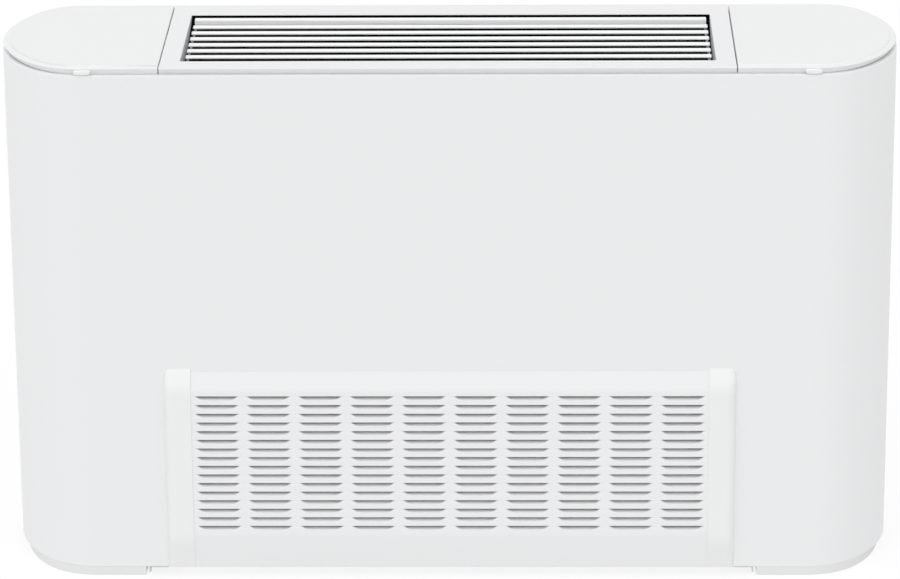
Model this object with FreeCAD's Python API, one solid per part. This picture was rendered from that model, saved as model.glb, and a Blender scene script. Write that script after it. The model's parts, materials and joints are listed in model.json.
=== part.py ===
# Floor-ceiling fan coil unit, built as an assembly of separate solids.
# Millimetres. X runs along the width, Y from front to back and Z up.
# The origin is on the base, under the centre of the overall box.
import FreeCAD, Part
import math
import os

# Casing: a right prism with flat front and back and rounded ends
body_width = 790.0
body_depth = 200.0
body_height = 476.0
front_end_reach = 77.0
rear_end_reach = 64.0
front_end_radius_share = 1.18
rear_end_radius_share = 1.40
sheet = 1.5
panel_edge_radius = 1.2
panel_flange = 12.0
rear_return = 14.0

# Skirts under the rounded ends
skirt_height = 6.4
skirt_wall = 2.5
skirt_gap = 2.5
skirt_rib = 10.0
skirt_fit = 0.2
pipe_hole_radius = 16.0
cable_hole_radius = 12.0

# Top cover: two lids and the fixed top frame between them
cover_height = 6.0
cover_gap = 1.0
cover_inset = 0.6
cover_wall = 2.5
cover_edge_radius = 2.2
lid_length = 144.6
split_gap = 1.0
tab_width = 17.0
tab_drop = 1.6
tab_thickness = 3.4
tab_gap = 0.5
lid_pad_length = 8.0
lid_pad_width = 3.0
lid_pad_inset = 8.0

# Outlet opening in the top frame, and the folded edges round it
outlet_side_margin = 17.9
outlet_front_margin = 19.5
outlet_rear_margin = 38.9
outlet_fold = 8.0
outlet_ledge = 6.0
fold_sheet = 1.5

# Drop-in outlet grille
insert_play_x = 3.0
insert_play_y = 2.0
insert_drop = 1.2
insert_wall = 2.0
rear_rail = 8.0
insert_step = 2.8
slat_count = 6
slat_first = 19.4
slat_last = 26.8
slat_chord = 7.0
slat_thickness = 1.3
slat_tilt_deg = 3.0

# Lid hinges
lid_hinge_inset = 9.0
lid_hinge_drop = 6.5
lid_pin_radius = 1.5
lid_ear_radius = 3.0
lid_ear_width = 3.0
lid_knuckle_width = 11.5
lid_hinge_start = 5.5
lid_hinge_length = 77.0
lid_bracket_setback = 9.0
lid_bracket_drop = 9.5
lid_bracket_height = 22.0
lid_bracket_leg = 24.0
lid_sweep = 11.5
pin_fit = 0.05
side_fit = 0.5

# Frame of folded sheet inside the casing
frame_sheet = 1.5
frame_inset = 0.9
frame_flange = 24.0
frame_hem = 10.0
frame_fit = 1.0
frame_lift = 0.6
hem_bottom = 2.5
rear_sheet = 1.5
wall_hole_radius = 4.5
wall_hole_offset = 12.5
wall_hole_low = 90.0
wall_hole_drop = 79.0
inner_sheet = 1.2
tray_lift = 1.6
tray_upstand = 14.0
cable_pass_radius = 8.0

# Intake grille: louvred sheet between two moulded end caps
door_overlap = 3.0
door_gap = 0.6
cap_width = 24.0
cap_rise = 2.5
cap_proud = 1.0
cap_wall = 2.0
cap_edge_radius = 3.0
cap_slope_start = 36.0
cap_back = 0.7
grille_raise = 8.0
grille_top = 197.0
grille_bottom = 8.0
grille_sheet = 1.2
upper_slope = 17.0
lower_slope = 33.3
bottom_lip = 1.0
bottom_return = 3.0
louvre_columns = 10
louvre_rows = 16
louvre_bridge = 5.08
louvre_pitch_z = 8.26
louvre_taper = 8.4
louvre_open = 3.6

# Grille hinge at the bottom edge
door_hinge_setback = 5.0
door_hinge_height = 14.0
door_pin_radius = 2.0
door_pin_head = 1.2
door_pin_tail = 2.0
door_lug_radius = 4.0
door_lug_width = 6.0
door_lug_inset = 3.6
door_ear_width = 3.0
door_sweep = 9.4

# Filter and its guides on the back of the grille
filter_gap = 2.5
filter_thickness = 5.0
filter_fit = 0.5
filter_side_gap = 5.0
filter_top = 184.0
filter_bar = 12.0
filter_rib = 5.0
filter_rib_count = 3
filter_tab_width = 40.0
filter_tab_height = 6.0
mesh_thickness = 1.0
guide_wall = 1.2
guide_grip = 10.0
guide_bottom = 25.0
guide_top = 191.0
guide_flange = 15.0

# Blower set: two scroll housings either side of one motor
deck_height = 206.0
deck_upstand = 12.0
scroll_front_gap = 15.3
fan_axis_z = 112.0
shaft_radius = 5.0
shaft_end_gap = 12.0
running_fit = 0.05
impeller_gap = 8.0
blade_depth = 12.0
impeller_ring = 3.0
impeller_disc = 2.0
hub_radius = 14.0
hub_length = 24.0
blade_count = 30
blade_thickness = 1.0
blade_lean_deg = 9.0
blade_bow_share = 0.1
scroll_start = 78.0
inlet_room = 45.5
scroll_wall = 1.2
scroll_rear_gap = 7.3
scroll_step = 10.0
tongue_shift = 6.0
scroll_flange = 8.0
inlet_lip = 1.0
impeller_side_gap = 4.0
motor_radius = 46.0
motor_half_length = 42.0
end_bell_radius = 40.0
end_bell_length = 6.0
boss_radius = 16.0
boss_length = 14.0
grommet_radius = 23.0
grommet_width = 10.0
grommet_offset = 2.0
cradle_sheet = 2.0
cradle_half_depth = 27.0
cradle_lug = 9.0
cradle_lug_width = 8.0
band_sheet = 1.5
capacitor_radius = 15.0
capacitor_length = 52.0
capacitor_offset = 66.0
capacitor_foot = 12.0

# Coil: slanted fin pack with two tube circuits
coil_side_room = 33.5
coil_low_gap = 10.2
coil_depth = 44.0
coil_slant_deg = 35.0
coil_high_gap = 5.5
coil_wall_gap = 15.0
coil_shift = 4.6
tube_rows = 8
row_pitch = 22.0
tube_radius = 4.75
tube_wall = 0.6
tube_fit = 0.1
coil_sheet = 1.5
coil_margin = 3.0
flange_low_share = -0.6
flange_high_share = 0.9
frame_hole_fit = 2.0

# Water headers, unions and air vent in the left-hand compartment
header_reach = 47.0
header_radius = 11.0
header_wall = 1.5
header_tail = 9.0
union_length = 20.0
union_flats = 32.0
union_bore = 12.06
union_thread_length = 16.0
union_setback = 8.0
vent_radius = 4.0
vent_height = 20.0
vent_cap_radius = 7.0
vent_cap_height = 8.0

# Condensate pan and spigot
pan_front_gap = 2.0
pan_back_margin = 24.4
pan_height = 20.0
pan_wall = 1.5
pan_end_gap = 1.5
spigot_radius = 10.0
spigot_bore = 8.0
spigot_root = 6.0
spigot_root_radius = 11.0
spigot_flange_radius = 13.0
spigot_reach = 33.0
spigot_inset = 20.1
spigot_lift = 11.0
spigot_fit = 0.5

# Terminal box in the right-hand compartment
box_reach = 60.0
box_front_gap = 19.5
box_depth = 44.0
box_drop = 164.0
box_height = 110.0
box_wall = 2.0
box_lid = 2.0
block_inset = 4.0
block_lift = 46.0
block_height = 18.0
block_reach = 17.0
block_poles = 4
block_screw_radius = 2.6
block_barrier = 1.4
block_well = 9.0
gland_radius = 9.0
gland_nut = 12.0
gland_nut_height = 6.0
gland_length = 22.0
gland_bore = 5.0
gland_inset = 22.0
gland_reach_share = 0.5

# Foam collar round the outlet throat
collar_height = 57.0
collar_play = 1.5

# Screws that hold the deck and the coil to the frame
screw_head_radius = 4.0
screw_head_height = 2.4
screw_slot = 1.0
screw_slot_depth = 1.0
deck_screw_share = 0.18
deck_screw_lift = 6.0
coil_screw_low_share = -0.4
coil_screw_high_share = 0.7

# One overrun serves all cuts, and one tolerance all edge searches
overrun = 2.0
tolerance = 0.001

# Places worked out from the sizes above
half_width = body_width / 2
half_depth = body_depth / 2
mid_y = grille_raise / 2
front_y = mid_y - half_depth
rear_y = mid_y + half_depth
cover_bottom = body_height - cover_height
cover_under = body_height - cover_wall
panel_top = cover_bottom - cover_gap
panel_under = panel_top - sheet
panel_back = front_y + sheet
lid_split = half_width - lid_length
top_frame_end = lid_split - split_gap / 2
lid_start = lid_split + split_gap / 2
outlet_end = top_frame_end - outlet_side_margin
outlet_front = front_y + outlet_front_margin
outlet_rear = rear_y - outlet_rear_margin
slat_pitch = (outlet_rear - outlet_front - slat_first - slat_last) / (slat_count - 1)
lid_hinge_y = rear_y - lid_hinge_inset
lid_hinge_z = body_height - lid_hinge_drop
frame_out = top_frame_end - frame_inset
frame_in = frame_out - frame_sheet
frame_edge = frame_in + frame_flange
skirt_start = frame_edge + skirt_gap
frame_bottom = skirt_height + frame_lift
rear_in = rear_y - rear_sheet
wall_hole_x = frame_in + wall_hole_offset
wall_hole_high = panel_top - wall_hole_drop
door_end = lid_split + door_overlap
grille_end = door_end - cap_width
louvre_pitch_x = 2 * grille_end / louvre_columns
louvre_long = louvre_pitch_x - louvre_bridge
louvre_short = louvre_long - louvre_taper
door_top = grille_top + cap_rise
cap_face = front_y - grille_raise
grille_face = cap_face + cap_proud
filter_front = panel_back + filter_gap
filter_back = filter_front + filter_thickness
filter_end = grille_end - filter_side_gap
guide_front = filter_front - filter_fit - guide_wall
guide_back = filter_back + filter_fit + guide_wall
guide_out = filter_end + filter_fit + guide_wall
filter_bottom = guide_bottom + guide_wall
inner_front = filter_back + filter_gap
inner_back = inner_front + inner_sheet
tray_bottom = skirt_height + tray_lift
door_hinge_y = front_y + door_hinge_setback
door_hinge_z = door_hinge_height
scroll_end = frame_in - inlet_room
scroll_width = scroll_end - scroll_start
scroll_front = inner_front + scroll_front_gap + scroll_wall
scroll_rear = rear_in - scroll_rear_gap - scroll_wall
scroll_throat = (scroll_rear - scroll_front - 3 * scroll_step) / 2
fan_axis_y = scroll_front + scroll_throat
impeller_radius = scroll_throat - impeller_gap
impeller_root = impeller_radius - blade_depth
inlet_radius = impeller_root + inlet_lip
deck_top = deck_height + inner_sheet
collar_top = panel_top
collar_bottom = collar_top - collar_height
slant_sine = math.sin(math.radians(coil_slant_deg))
slant_cosine = math.cos(math.radians(coil_slant_deg))
coil_rise = collar_bottom - deck_top - coil_low_gap - coil_high_gap
coil_run = rear_in - inner_back - 2 * coil_wall_gap
coil_height_by_rise = (coil_rise - coil_depth * slant_sine) / slant_cosine
coil_height_by_run = (coil_run - coil_depth * slant_cosine) / slant_sine
coil_height = min(coil_height_by_rise, coil_height_by_run)
coil_centre_y = (inner_back + rear_in) / 2 - coil_shift
coil_centre_z = deck_top + coil_low_gap + (coil_height * slant_cosine + coil_depth * slant_sine) / 2
tube_pitch = coil_height / tube_rows
fin_end = frame_in - coil_side_room
header_x = -frame_out - header_reach
plate_end = fin_end + coil_sheet
union_mouth = rear_y - union_setback
tube_end = header_x + header_radius - header_wall * 2
pan_front = inner_back + inner_sheet + pan_front_gap
spigot_y = pan_front + spigot_inset
box_y = panel_back + box_front_gap
box_bottom = panel_top - box_drop


def vec(x, y, z):
    return FreeCAD.Vector(x, y, z)


def box(x0, x1, y0, y1, z0, z1):
    return Part.makeBox(x1 - x0, y1 - y0, z1 - z0, vec(x0, y0, z0))


def rod_x(radius, x0, x1, y, z):
    return Part.makeCylinder(radius, x1 - x0, vec(x0, y, z), vec(1, 0, 0))


def rod_y(radius, x, y0, y1, z):
    return Part.makeCylinder(radius, y1 - y0, vec(x, y0, z), vec(0, 1, 0))


def rod_z(radius, x, y, z0, z1):
    return Part.makeCylinder(radius, z1 - z0, vec(x, y, z0), vec(0, 0, 1))


def prism_x(points, x0, x1):
    """Run a closed outline of (y, z) points from x0 to x1."""
    corners = [vec(x0, y, z) for y, z in points]
    face = Part.Face(Part.makePolygon(corners + corners[:1]))
    return face.extrude(vec(x1 - x0, 0, 0))


def prism_y(points, y0, y1):
    """Run a closed outline of (x, z) points from y0 to y1."""
    corners = [vec(x, y0, z) for x, z in points]
    face = Part.Face(Part.makePolygon(corners + corners[:1]))
    return face.extrude(vec(0, y1 - y0, 0))


def join(*shapes):
    return shapes[0].multiFuse(list(shapes[1:])).removeSplitter()


def cut(base, *tools):
    for tool in tools:
        base = base.cut(tool)
    return base


def mirrored(shape):
    """The same shape on the other side of the middle plane."""
    return shape.mirror(vec(0, 0, 0), vec(1, 0, 0))


def save(name, shape):
    os.makedirs("parts", exist_ok=True)
    solids = shape.Solids
    if not solids or not shape.isValid():
        raise ValueError(name + " is not a sound solid")
    kept = solids[0] if len(solids) == 1 else Part.makeCompound(solids)
    kept.exportStep("parts/" + name + ".step")
    print(name, len(solids), round(kept.Volume))


def save_pair(name, right):
    save(name + "_right", right)
    save(name + "_left", mirrored(right))


def arc_edge(x, y, z, radius, start, stop):
    angles = (start, (start + stop) / 2, stop)
    points = [vec(x + radius * math.cos(a), y + radius * math.sin(a), z) for a in angles]
    return Part.Arc(*points).toShape()


def end_edges(inset, z):
    """Right-hand end of the casing outline, drawn in by inset: a corner and an end arc each way."""
    edges = []
    ends = ((-1, front_end_reach, front_end_radius_share), (1, rear_end_reach, rear_end_radius_share))
    for side, reach, share in ends:
        end = half_depth * share
        corner = (end**2 - (end - reach)**2 - half_depth**2) / (2 * (end - half_depth))
        turn = side * math.atan2(half_depth - corner, end - reach)
        corner_y = mid_y + side * (half_depth - corner)
        quarter = side * math.pi / 2
        edges.append(arc_edge(half_width - reach, corner_y, z, corner - inset, quarter, turn))
        edges.append(arc_edge(half_width - end, mid_y, z, end - inset, turn, 0))
    return edges


def casing_block(inset, z0, z1):
    """The casing outline, drawn in by inset, run from z0 to z1."""
    edges = end_edges(inset, z0)
    edges += [mirrored(edge) for edge in edges]
    for y, reach in ((front_y + inset, front_end_reach), (rear_y - inset, rear_end_reach)):
        x = half_width - reach
        edges.append(Part.makeLine(vec(-x, y, z0), vec(x, y, z0)))
    outline = Part.Wire(Part.__sortEdges__(edges))
    return Part.Face(outline).extrude(vec(0, 0, z1 - z0))


def rounded_top(block, z, radius):
    rim = [e for e in block.Edges if e.BoundBox.ZMin > z - tolerance and e.BoundBox.ZMax < z + tolerance]
    return block.makeFillet(radius, rim)


def right_of(x, y0=front_y - body_depth, y1=rear_y + body_depth):
    """Everything to the right of x, as a cutting block."""
    return box(x, body_width, y0, y1, -body_height, body_height * 2)


def lid_sweep_block():
    """Room that the back edge of the right-hand lid needs as it turns down behind its hinge."""
    back = rear_y - panel_flange - overrun
    return box(top_frame_end, body_width, back, rear_y + overrun, lid_hinge_z - lid_sweep, body_height)


def make_front_panel():
    outer = rounded_top(casing_block(0, skirt_height, panel_top), panel_top, min(panel_edge_radius, sheet))
    inner = casing_block(sheet, skirt_height - overrun, panel_under)
    mouth = casing_block(panel_flange, panel_under - overrun, panel_top + overrun)
    panel = cut(outer, inner, mouth)
    back = half_width - rear_end_reach - rear_return
    rear = box(-back, back, mid_y, rear_y + overrun, skirt_height - overrun, panel_top + overrun)
    sweep = lid_sweep_block()
    panel = cut(panel, rear, sweep, mirrored(sweep))
    low = skirt_height - overrun
    near = front_y - overrun
    side = door_end + door_gap
    grille = box(-side, side, near, mid_y, low, door_top + door_gap)
    ledge = box(-grille_end, grille_end, near, mid_y, grille_top + door_gap, door_top + cap_rise)
    return cut(panel, cut(grille, ledge))


def make_skirt():
    skirt = casing_block(0, 0, skirt_height)
    hollow = casing_block(skirt_wall, skirt_wall, skirt_height + overrun)
    inset = sheet + skirt_fit
    top = skirt_height + skirt_rib
    rib = cut(casing_block(inset, 0, top), casing_block(inset + skirt_wall, -overrun, top + overrun))
    hollow = hollow.common(right_of(skirt_start + skirt_wall))
    skirt = join(cut(skirt.common(right_of(skirt_start)), hollow), rib.common(right_of(skirt_start)))
    return skirt


def floor_hole(radius):
    return rod_z(radius, -header_x, mid_y, -overrun, skirt_height + overrun)


def cover_shell():
    """The whole top cover before it is split: a shallow upturned tray with a rounded rim."""
    radius = min(cover_edge_radius, cover_wall)
    return rounded_top(casing_block(cover_inset, cover_bottom, body_height), body_height, radius)


def cover_hollow():
    return casing_block(cover_inset + cover_wall, cover_bottom - overrun, cover_under)


def make_top_frame():
    middle = box(-top_frame_end, top_frame_end, -body_depth, body_depth, 0, body_height * 2)
    frame = cut(cover_shell(), cover_hollow()).common(middle)
    low = cover_under - outlet_fold
    hole = box(-outlet_end, outlet_end, outlet_front, outlet_rear, low - overrun, body_height + overrun)
    x = outlet_end + fold_sheet
    fold = box(-x, x, outlet_front - fold_sheet, outlet_rear + fold_sheet, low, cover_under)
    ledge = box(outlet_end - outlet_ledge, x, outlet_front, outlet_rear, low, low + fold_sheet)
    frame = cut(join(frame, fold), hole)
    return join(frame, ledge, mirrored(ledge))


def make_tab():
    """Finger tab on the front rim of the right-hand lid: a shallow disc segment."""
    x = half_width - front_end_reach
    low = cover_bottom - tab_drop
    height = cover_height - cover_edge_radius + tab_drop
    radius = (tab_width**2 / 4 + height**2) / (2 * height)
    face = front_y - tab_gap
    disc = rod_y(radius, x, face - tab_thickness, face, low + radius)
    root = rod_y(radius, x, face - tab_thickness, front_y + cover_inset + cover_wall / 2, low + radius)
    top = low + height
    disc = disc.common(box(x - tab_width, x + tab_width, -body_depth, front_y, low, top))
    root = root.common(box(x - tab_width, x + tab_width, -body_depth, mid_y, cover_bottom, top))
    return join(disc, root)


def lid_hinge_span():
    start = lid_start + lid_hinge_start
    return start, start + lid_hinge_length


def make_lid():
    lid = cover_shell().common(right_of(lid_start))
    hollow = cover_hollow().common(right_of(lid_start + cover_wall))
    lid = cut(lid, hollow)
    start, end = lid_hinge_span()
    near = start + lid_ear_width + side_fit
    far = end - lid_ear_width - side_fit
    knuckles = []
    for x in (near, far - lid_knuckle_width):
        barrel = rod_x(lid_ear_radius, x, x + lid_knuckle_width, lid_hinge_y, lid_hinge_z)
        y0 = lid_hinge_y - lid_ear_radius
        y1 = lid_hinge_y + lid_ear_radius
        web = box(x, x + lid_knuckle_width, y0, y1, lid_hinge_z, cover_under)
        knuckles += [barrel, web]
    pads = []
    for x in (near, half_width - front_end_reach):
        y = front_y + lid_pad_inset
        half = lid_pad_width / 2
        pads.append(box(x, x + lid_pad_length, y - half, y + half, panel_top, cover_under))
    lid = join(lid, make_tab(), *knuckles, *pads)
    bore = rod_x(lid_pin_radius + pin_fit, lid_start, half_width, lid_hinge_y, lid_hinge_z)
    return cut(lid, bore)


def make_lid_bracket():
    start, end = lid_hinge_span()
    back = lid_hinge_y - lid_bracket_setback
    front = back - frame_sheet
    top = lid_hinge_z - lid_bracket_drop
    low = top - lid_bracket_height
    leg = box(frame_out, frame_out + frame_sheet, back - lid_bracket_leg, back, low, top)
    beam = box(frame_out, end, front, back, low, top)
    outline = [(front, top - lid_bracket_height / 2), (front, top)]
    outline += [(lid_hinge_y - lid_ear_radius, lid_hinge_z), (lid_hinge_y, lid_hinge_z - lid_ear_radius)]
    ears = []
    for x in (start, end - lid_ear_width):
        ears.append(prism_x(outline, x, x + lid_ear_width))
        ears.append(rod_x(lid_ear_radius, x, x + lid_ear_width, lid_hinge_y, lid_hinge_z))
    bracket = join(leg, beam, *ears)
    return cut(bracket, rod_x(lid_pin_radius + pin_fit, lid_start, half_width, lid_hinge_y, lid_hinge_z))


def make_lid_pin():
    start, end = lid_hinge_span()
    return rod_x(lid_pin_radius, start - side_fit, end + side_fit, lid_hinge_y, lid_hinge_z)


def wall_holes(y0, y1):
    heights = (wall_hole_low, wall_hole_high)
    return [rod_y(wall_hole_radius, s * wall_hole_x, y0, y1, z) for s in (-1, 1) for z in heights]


def door_sweep_blocks():
    """Room that the foot of the right-hand end cap needs as it swings back under the hinge."""
    x0 = frame_in - overrun
    x1 = door_end + door_gap
    back = door_hinge_y + door_sweep
    swing = rod_x(door_sweep, x0, x1, door_hinge_y, door_hinge_z)
    return swing, box(x0, x1, panel_back - overrun, back, frame_bottom - overrun, door_hinge_z)


def make_frame_side():
    """Right-hand side plate: a web with turned-out flanges and a hemmed front edge."""
    front_step = front_y + panel_flange + frame_fit
    rear_step = rear_y - cover_inset - cover_wall - side_fit
    outline = [(panel_back, frame_bottom), (rear_in, frame_bottom), (rear_in, panel_top)]
    outline += [(rear_step, panel_top), (rear_step, cover_under), (front_step, cover_under)]
    outline += [(front_step, panel_under), (panel_back, panel_under)]
    web = prism_x(outline, frame_in, frame_out)
    front = box(frame_in, frame_edge, panel_back, panel_back + frame_sheet, frame_bottom, panel_under)
    hem_back = panel_back + frame_hem
    hem = box(frame_edge - frame_sheet, frame_edge, panel_back, hem_back, hem_bottom, panel_under)
    rear = box(frame_in, frame_edge, rear_in - frame_sheet, rear_in, frame_bottom, panel_top)
    side = cut(join(web, front, hem, rear), lid_sweep_block(), *door_sweep_blocks())
    return cut(side, *wall_holes(rear_in - frame_flange, rear_y))


def make_rear_panel():
    panel = box(-frame_edge, frame_edge, rear_in, rear_y, frame_bottom, panel_top)
    sweep = lid_sweep_block()
    return cut(panel, sweep, mirrored(sweep), *wall_holes(rear_in - overrun, rear_y + overrun))


def tray(x, y0, y1, z, upstand):
    """Flat sheet with a turned-up edge all round."""
    block = box(-x, x, y0, y1, z, z + upstand)
    wall = inner_sheet
    return cut(block, box(wall - x, x - wall, y0 + wall, y1 - wall, z + wall, z + upstand + overrun))


def door_ear_start():
    return grille_end + door_lug_inset + door_lug_width + side_fit


def make_bottom_plate():
    plate = tray(frame_in, inner_front, rear_in, tray_bottom, tray_upstand)
    x = door_ear_start()
    back = inner_front + inner_sheet
    low = door_hinge_z - door_lug_radius
    ear = box(x, x + door_ear_width, door_hinge_y, back, low, tray_bottom + tray_upstand)
    ear = join(ear, rod_x(door_lug_radius, x, x + door_ear_width, door_hinge_y, door_hinge_z))
    plate = join(plate, ear, mirrored(ear))
    return cut(plate, rod_x(door_pin_radius + pin_fit, -frame_in, frame_in, door_hinge_y, door_hinge_z))


def make_door_pin():
    ear = door_ear_start()
    head = ear + door_ear_width
    start = ear - side_fit - door_lug_width - door_pin_tail
    pin = rod_x(door_pin_radius, start, head, door_hinge_y, door_hinge_z)
    return join(pin, rod_x(door_lug_radius, head, head + door_pin_head, door_hinge_y, door_hinge_z))


def make_inner_front():
    top = panel_under - frame_fit
    return box(-frame_in, frame_in, inner_front, inner_back, deck_height - deck_upstand, top)


def outline_with_wall(points, wall):
    """Thicken an open run of (y, z) points to one side, with mitred corners."""
    normals = []
    for (y0, z0), (y1, z1) in zip(points, points[1:]):
        length = math.hypot(y1 - y0, z1 - z0)
        normals.append(((z0 - z1) / length, (y1 - y0) / length))
    normals = normals[:1] + normals + normals[-1:]
    inner = []
    for (y, z), (ay, az), (by, bz) in zip(points, normals, normals[1:]):
        scale = wall / (1 + ay * by + az * bz)
        inner.append((y + (ay + by) * scale, z + (az + bz) * scale))
    return points + inner[::-1]


def make_intake_grille():
    bottom = grille_bottom
    run = [(guide_front, grille_top), (front_y, grille_top), (grille_face, grille_top - upper_slope)]
    run += [(grille_face, bottom + lower_slope), (front_y - bottom_lip, bottom)]
    run += [(front_y - bottom_lip + bottom_return, bottom)]
    panel = prism_x(outline_with_wall(run, grille_sheet), -grille_end, grille_end)
    middle = (grille_top - upper_slope + bottom + lower_slope) / 2
    slots = []
    for row in range(louvre_rows):
        z = middle + (row - (louvre_rows - 1) / 2) * louvre_pitch_z + louvre_open / 2
        for column in range(louvre_columns):
            x = (column - (louvre_columns - 1) / 2) * louvre_pitch_x
            corners = [(x - louvre_long / 2, z), (x + louvre_long / 2, z)]
            corners += [(x + louvre_short / 2, z - louvre_open), (x - louvre_short / 2, z - louvre_open)]
            slots.append(prism_y(corners, grille_face - overrun, grille_face + grille_sheet + overrun))
    return panel.cut(Part.makeCompound(slots))


def make_end_cap():
    """Right-hand moulded post beside the louvres, with its hinge lug."""
    back = front_y + cap_back
    toe = front_y - bottom_lip
    upper = door_top - upper_slope
    outline = [(back, door_top), (front_y, door_top), (cap_face, upper), (cap_face, cap_slope_start)]
    outline += [(toe, grille_bottom), (back, grille_bottom)]
    post = prism_x(outline, grille_end, door_end)
    side = [e for e in post.Edges if e.BoundBox.XMin > door_end - tolerance]
    outer = [e for e in side if e.BoundBox.YMax < back - tolerance]
    post = post.makeFillet(cap_edge_radius, outer)
    wall = cap_wall
    room = [(back + overrun, door_top - wall), (front_y + wall, door_top - wall), (cap_face + wall, upper)]
    room += [(cap_face + wall, cap_slope_start), (toe + wall, grille_bottom + wall)]
    room += [(back + overrun, grille_bottom + wall)]
    post = cut(post, prism_x(room, grille_end + wall, door_end - wall))
    rail = box(grille_end, grille_end + wall, back - wall, guide_front, guide_bottom, guide_top)
    lug_x = grille_end + door_lug_inset
    low = door_hinge_z - door_lug_radius
    high = door_hinge_z + door_lug_radius
    lug = box(lug_x, lug_x + door_lug_width, toe + wall / 2, door_hinge_y, low, high)
    lug = join(lug, rod_x(door_lug_radius, lug_x, lug_x + door_lug_width, door_hinge_y, door_hinge_z))
    post = join(post, rail, lug)
    return cut(post, rod_x(door_pin_radius + pin_fit, grille_end, frame_in, door_hinge_y, door_hinge_z))


def make_filter_guide():
    x0 = filter_end - guide_grip
    wall = guide_wall
    front = box(x0, guide_out + guide_flange, guide_front, guide_front + wall, guide_bottom, guide_top)
    web = box(guide_out - wall, guide_out, guide_front, guide_back, guide_bottom, guide_top)
    back = box(x0, guide_out, guide_back - wall, guide_back, guide_bottom, guide_top)
    stop = box(x0, guide_out, guide_front, guide_back, guide_bottom, filter_bottom)
    return join(front, web, back, stop)


def make_filter_frame():
    frame = box(-filter_end, filter_end, filter_front, filter_back, filter_bottom, filter_top)
    x = filter_end - filter_bar
    low = filter_bottom + filter_bar
    high = filter_top - filter_bar
    frame = cut(frame, box(-x, x, filter_front - overrun, filter_back + overrun, low, high))
    ribs = []
    mesh_front = filter_front + (filter_thickness - mesh_thickness) / 2
    for k in range(filter_rib_count):
        middle = x * (2 * (k + 1) / (filter_rib_count + 1) - 1)
        half = filter_rib / 2
        ribs.append(box(middle - half, middle + half, filter_front, mesh_front, low, high))
    tab = box(-filter_tab_width / 2, filter_tab_width / 2, filter_front, filter_back, filter_top,
              filter_top + filter_tab_height)
    return join(frame, tab, *ribs)


def make_filter_mesh():
    x = filter_end - filter_bar
    front = filter_front + (filter_thickness - mesh_thickness) / 2
    low = filter_bottom + filter_bar
    return box(-x, x, front, front + mesh_thickness, low, filter_top - filter_bar)


def scroll_outline(grow, x):
    """Closed wire of the scroll at x: three growing quarter arcs, then straight up to the deck."""
    tongue = scroll_throat + grow
    second = tongue + scroll_step
    third = second + scroll_step
    y = fan_axis_y
    z = fan_axis_z
    near = y + tongue_shift - grow
    corner = y + scroll_step
    far = corner + third
    half = math.sqrt(0.5)
    top = vec(x, y, z + tongue)
    front = vec(x, y - tongue, z)
    bottom = vec(x, corner, z - second)
    rear = vec(x, far, z + scroll_step)
    arcs = [Part.Arc(top, vec(x, y - tongue * half, z + tongue * half), front)]
    arcs.append(Part.Arc(front, vec(x, corner - second * half, z - second * half), bottom))
    arcs.append(Part.Arc(bottom, vec(x, corner + third * half, z + scroll_step - third * half), rear))
    edges = [arc.toShape() for arc in arcs]
    run = [rear, vec(x, far, deck_height), vec(x, near, deck_height), vec(x, near, z + tongue), top]
    edges += [Part.makeLine(a, b) for a, b in zip(run, run[1:])]
    return Part.Wire(edges)


def outlet_span():
    """Front and back of a scroll's mouth at the deck."""
    near = fan_axis_y + tongue_shift
    return near, fan_axis_y + scroll_throat + 3 * scroll_step


def make_scroll():
    outer_start = scroll_start - scroll_wall
    outer_end = scroll_end + scroll_wall
    outer = Part.Face(scroll_outline(scroll_wall, outer_start)).extrude(vec(outer_end - outer_start, 0, 0))
    inner = Part.Face(scroll_outline(0, scroll_start)).extrude(vec(scroll_width, 0, 0))
    near, far = outlet_span()
    edge = scroll_flange
    flange = box(scroll_start - edge, scroll_end + edge, near - edge, min(far + edge, rear_in),
                 deck_height - scroll_wall, deck_height)
    mouth = box(scroll_start, scroll_end, near, far, deck_height - scroll_wall * 2, deck_height + overrun)
    inlet = rod_x(inlet_radius, outer_start - overrun, outer_end + overrun, fan_axis_y, fan_axis_z)
    return cut(join(outer, flange), inner, mouth, inlet)


def make_fan_deck():
    deck = tray(frame_in, inner_back, rear_in, deck_height, deck_upstand)
    near, far = outlet_span()
    mouth = box(scroll_start, scroll_end, near, far, deck_height - overrun, deck_top + overrun)
    drain = rod_x(spigot_flange_radius + spigot_fit, -frame_in - overrun, -pan_end(), spigot_y, spigot_z())
    return cut(deck, mouth, mirrored(mouth), drain)


def blade_outline(x):
    """Forward-curved blade: a bowed strip of even thickness from the root circle to the rim."""
    lean = math.radians(blade_lean_deg)
    rim = impeller_radius - blade_thickness
    middle = (impeller_root + rim) / 2
    points = []
    for radius, share in ((impeller_root, 0), (middle, blade_bow_share), (rim, 1)):
        angle = share * lean
        points.append(vec(x, fan_axis_y + radius * math.sin(angle), fan_axis_z + radius * math.cos(angle)))
    bow = Part.Arc(*points).toShape().Curve
    sides = []
    for half in (-blade_thickness / 2, blade_thickness / 2):
        grow = (bow.Radius + half) / bow.Radius
        sides.append([bow.Center + (point - bow.Center) * grow for point in points])
    front, back = sides
    edges = [Part.Arc(*front).toShape(), Part.makeLine(front[2], back[2])]
    edges += [Part.Arc(*back[::-1]).toShape(), Part.makeLine(back[0], front[0])]
    return Part.Wire(edges)


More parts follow.
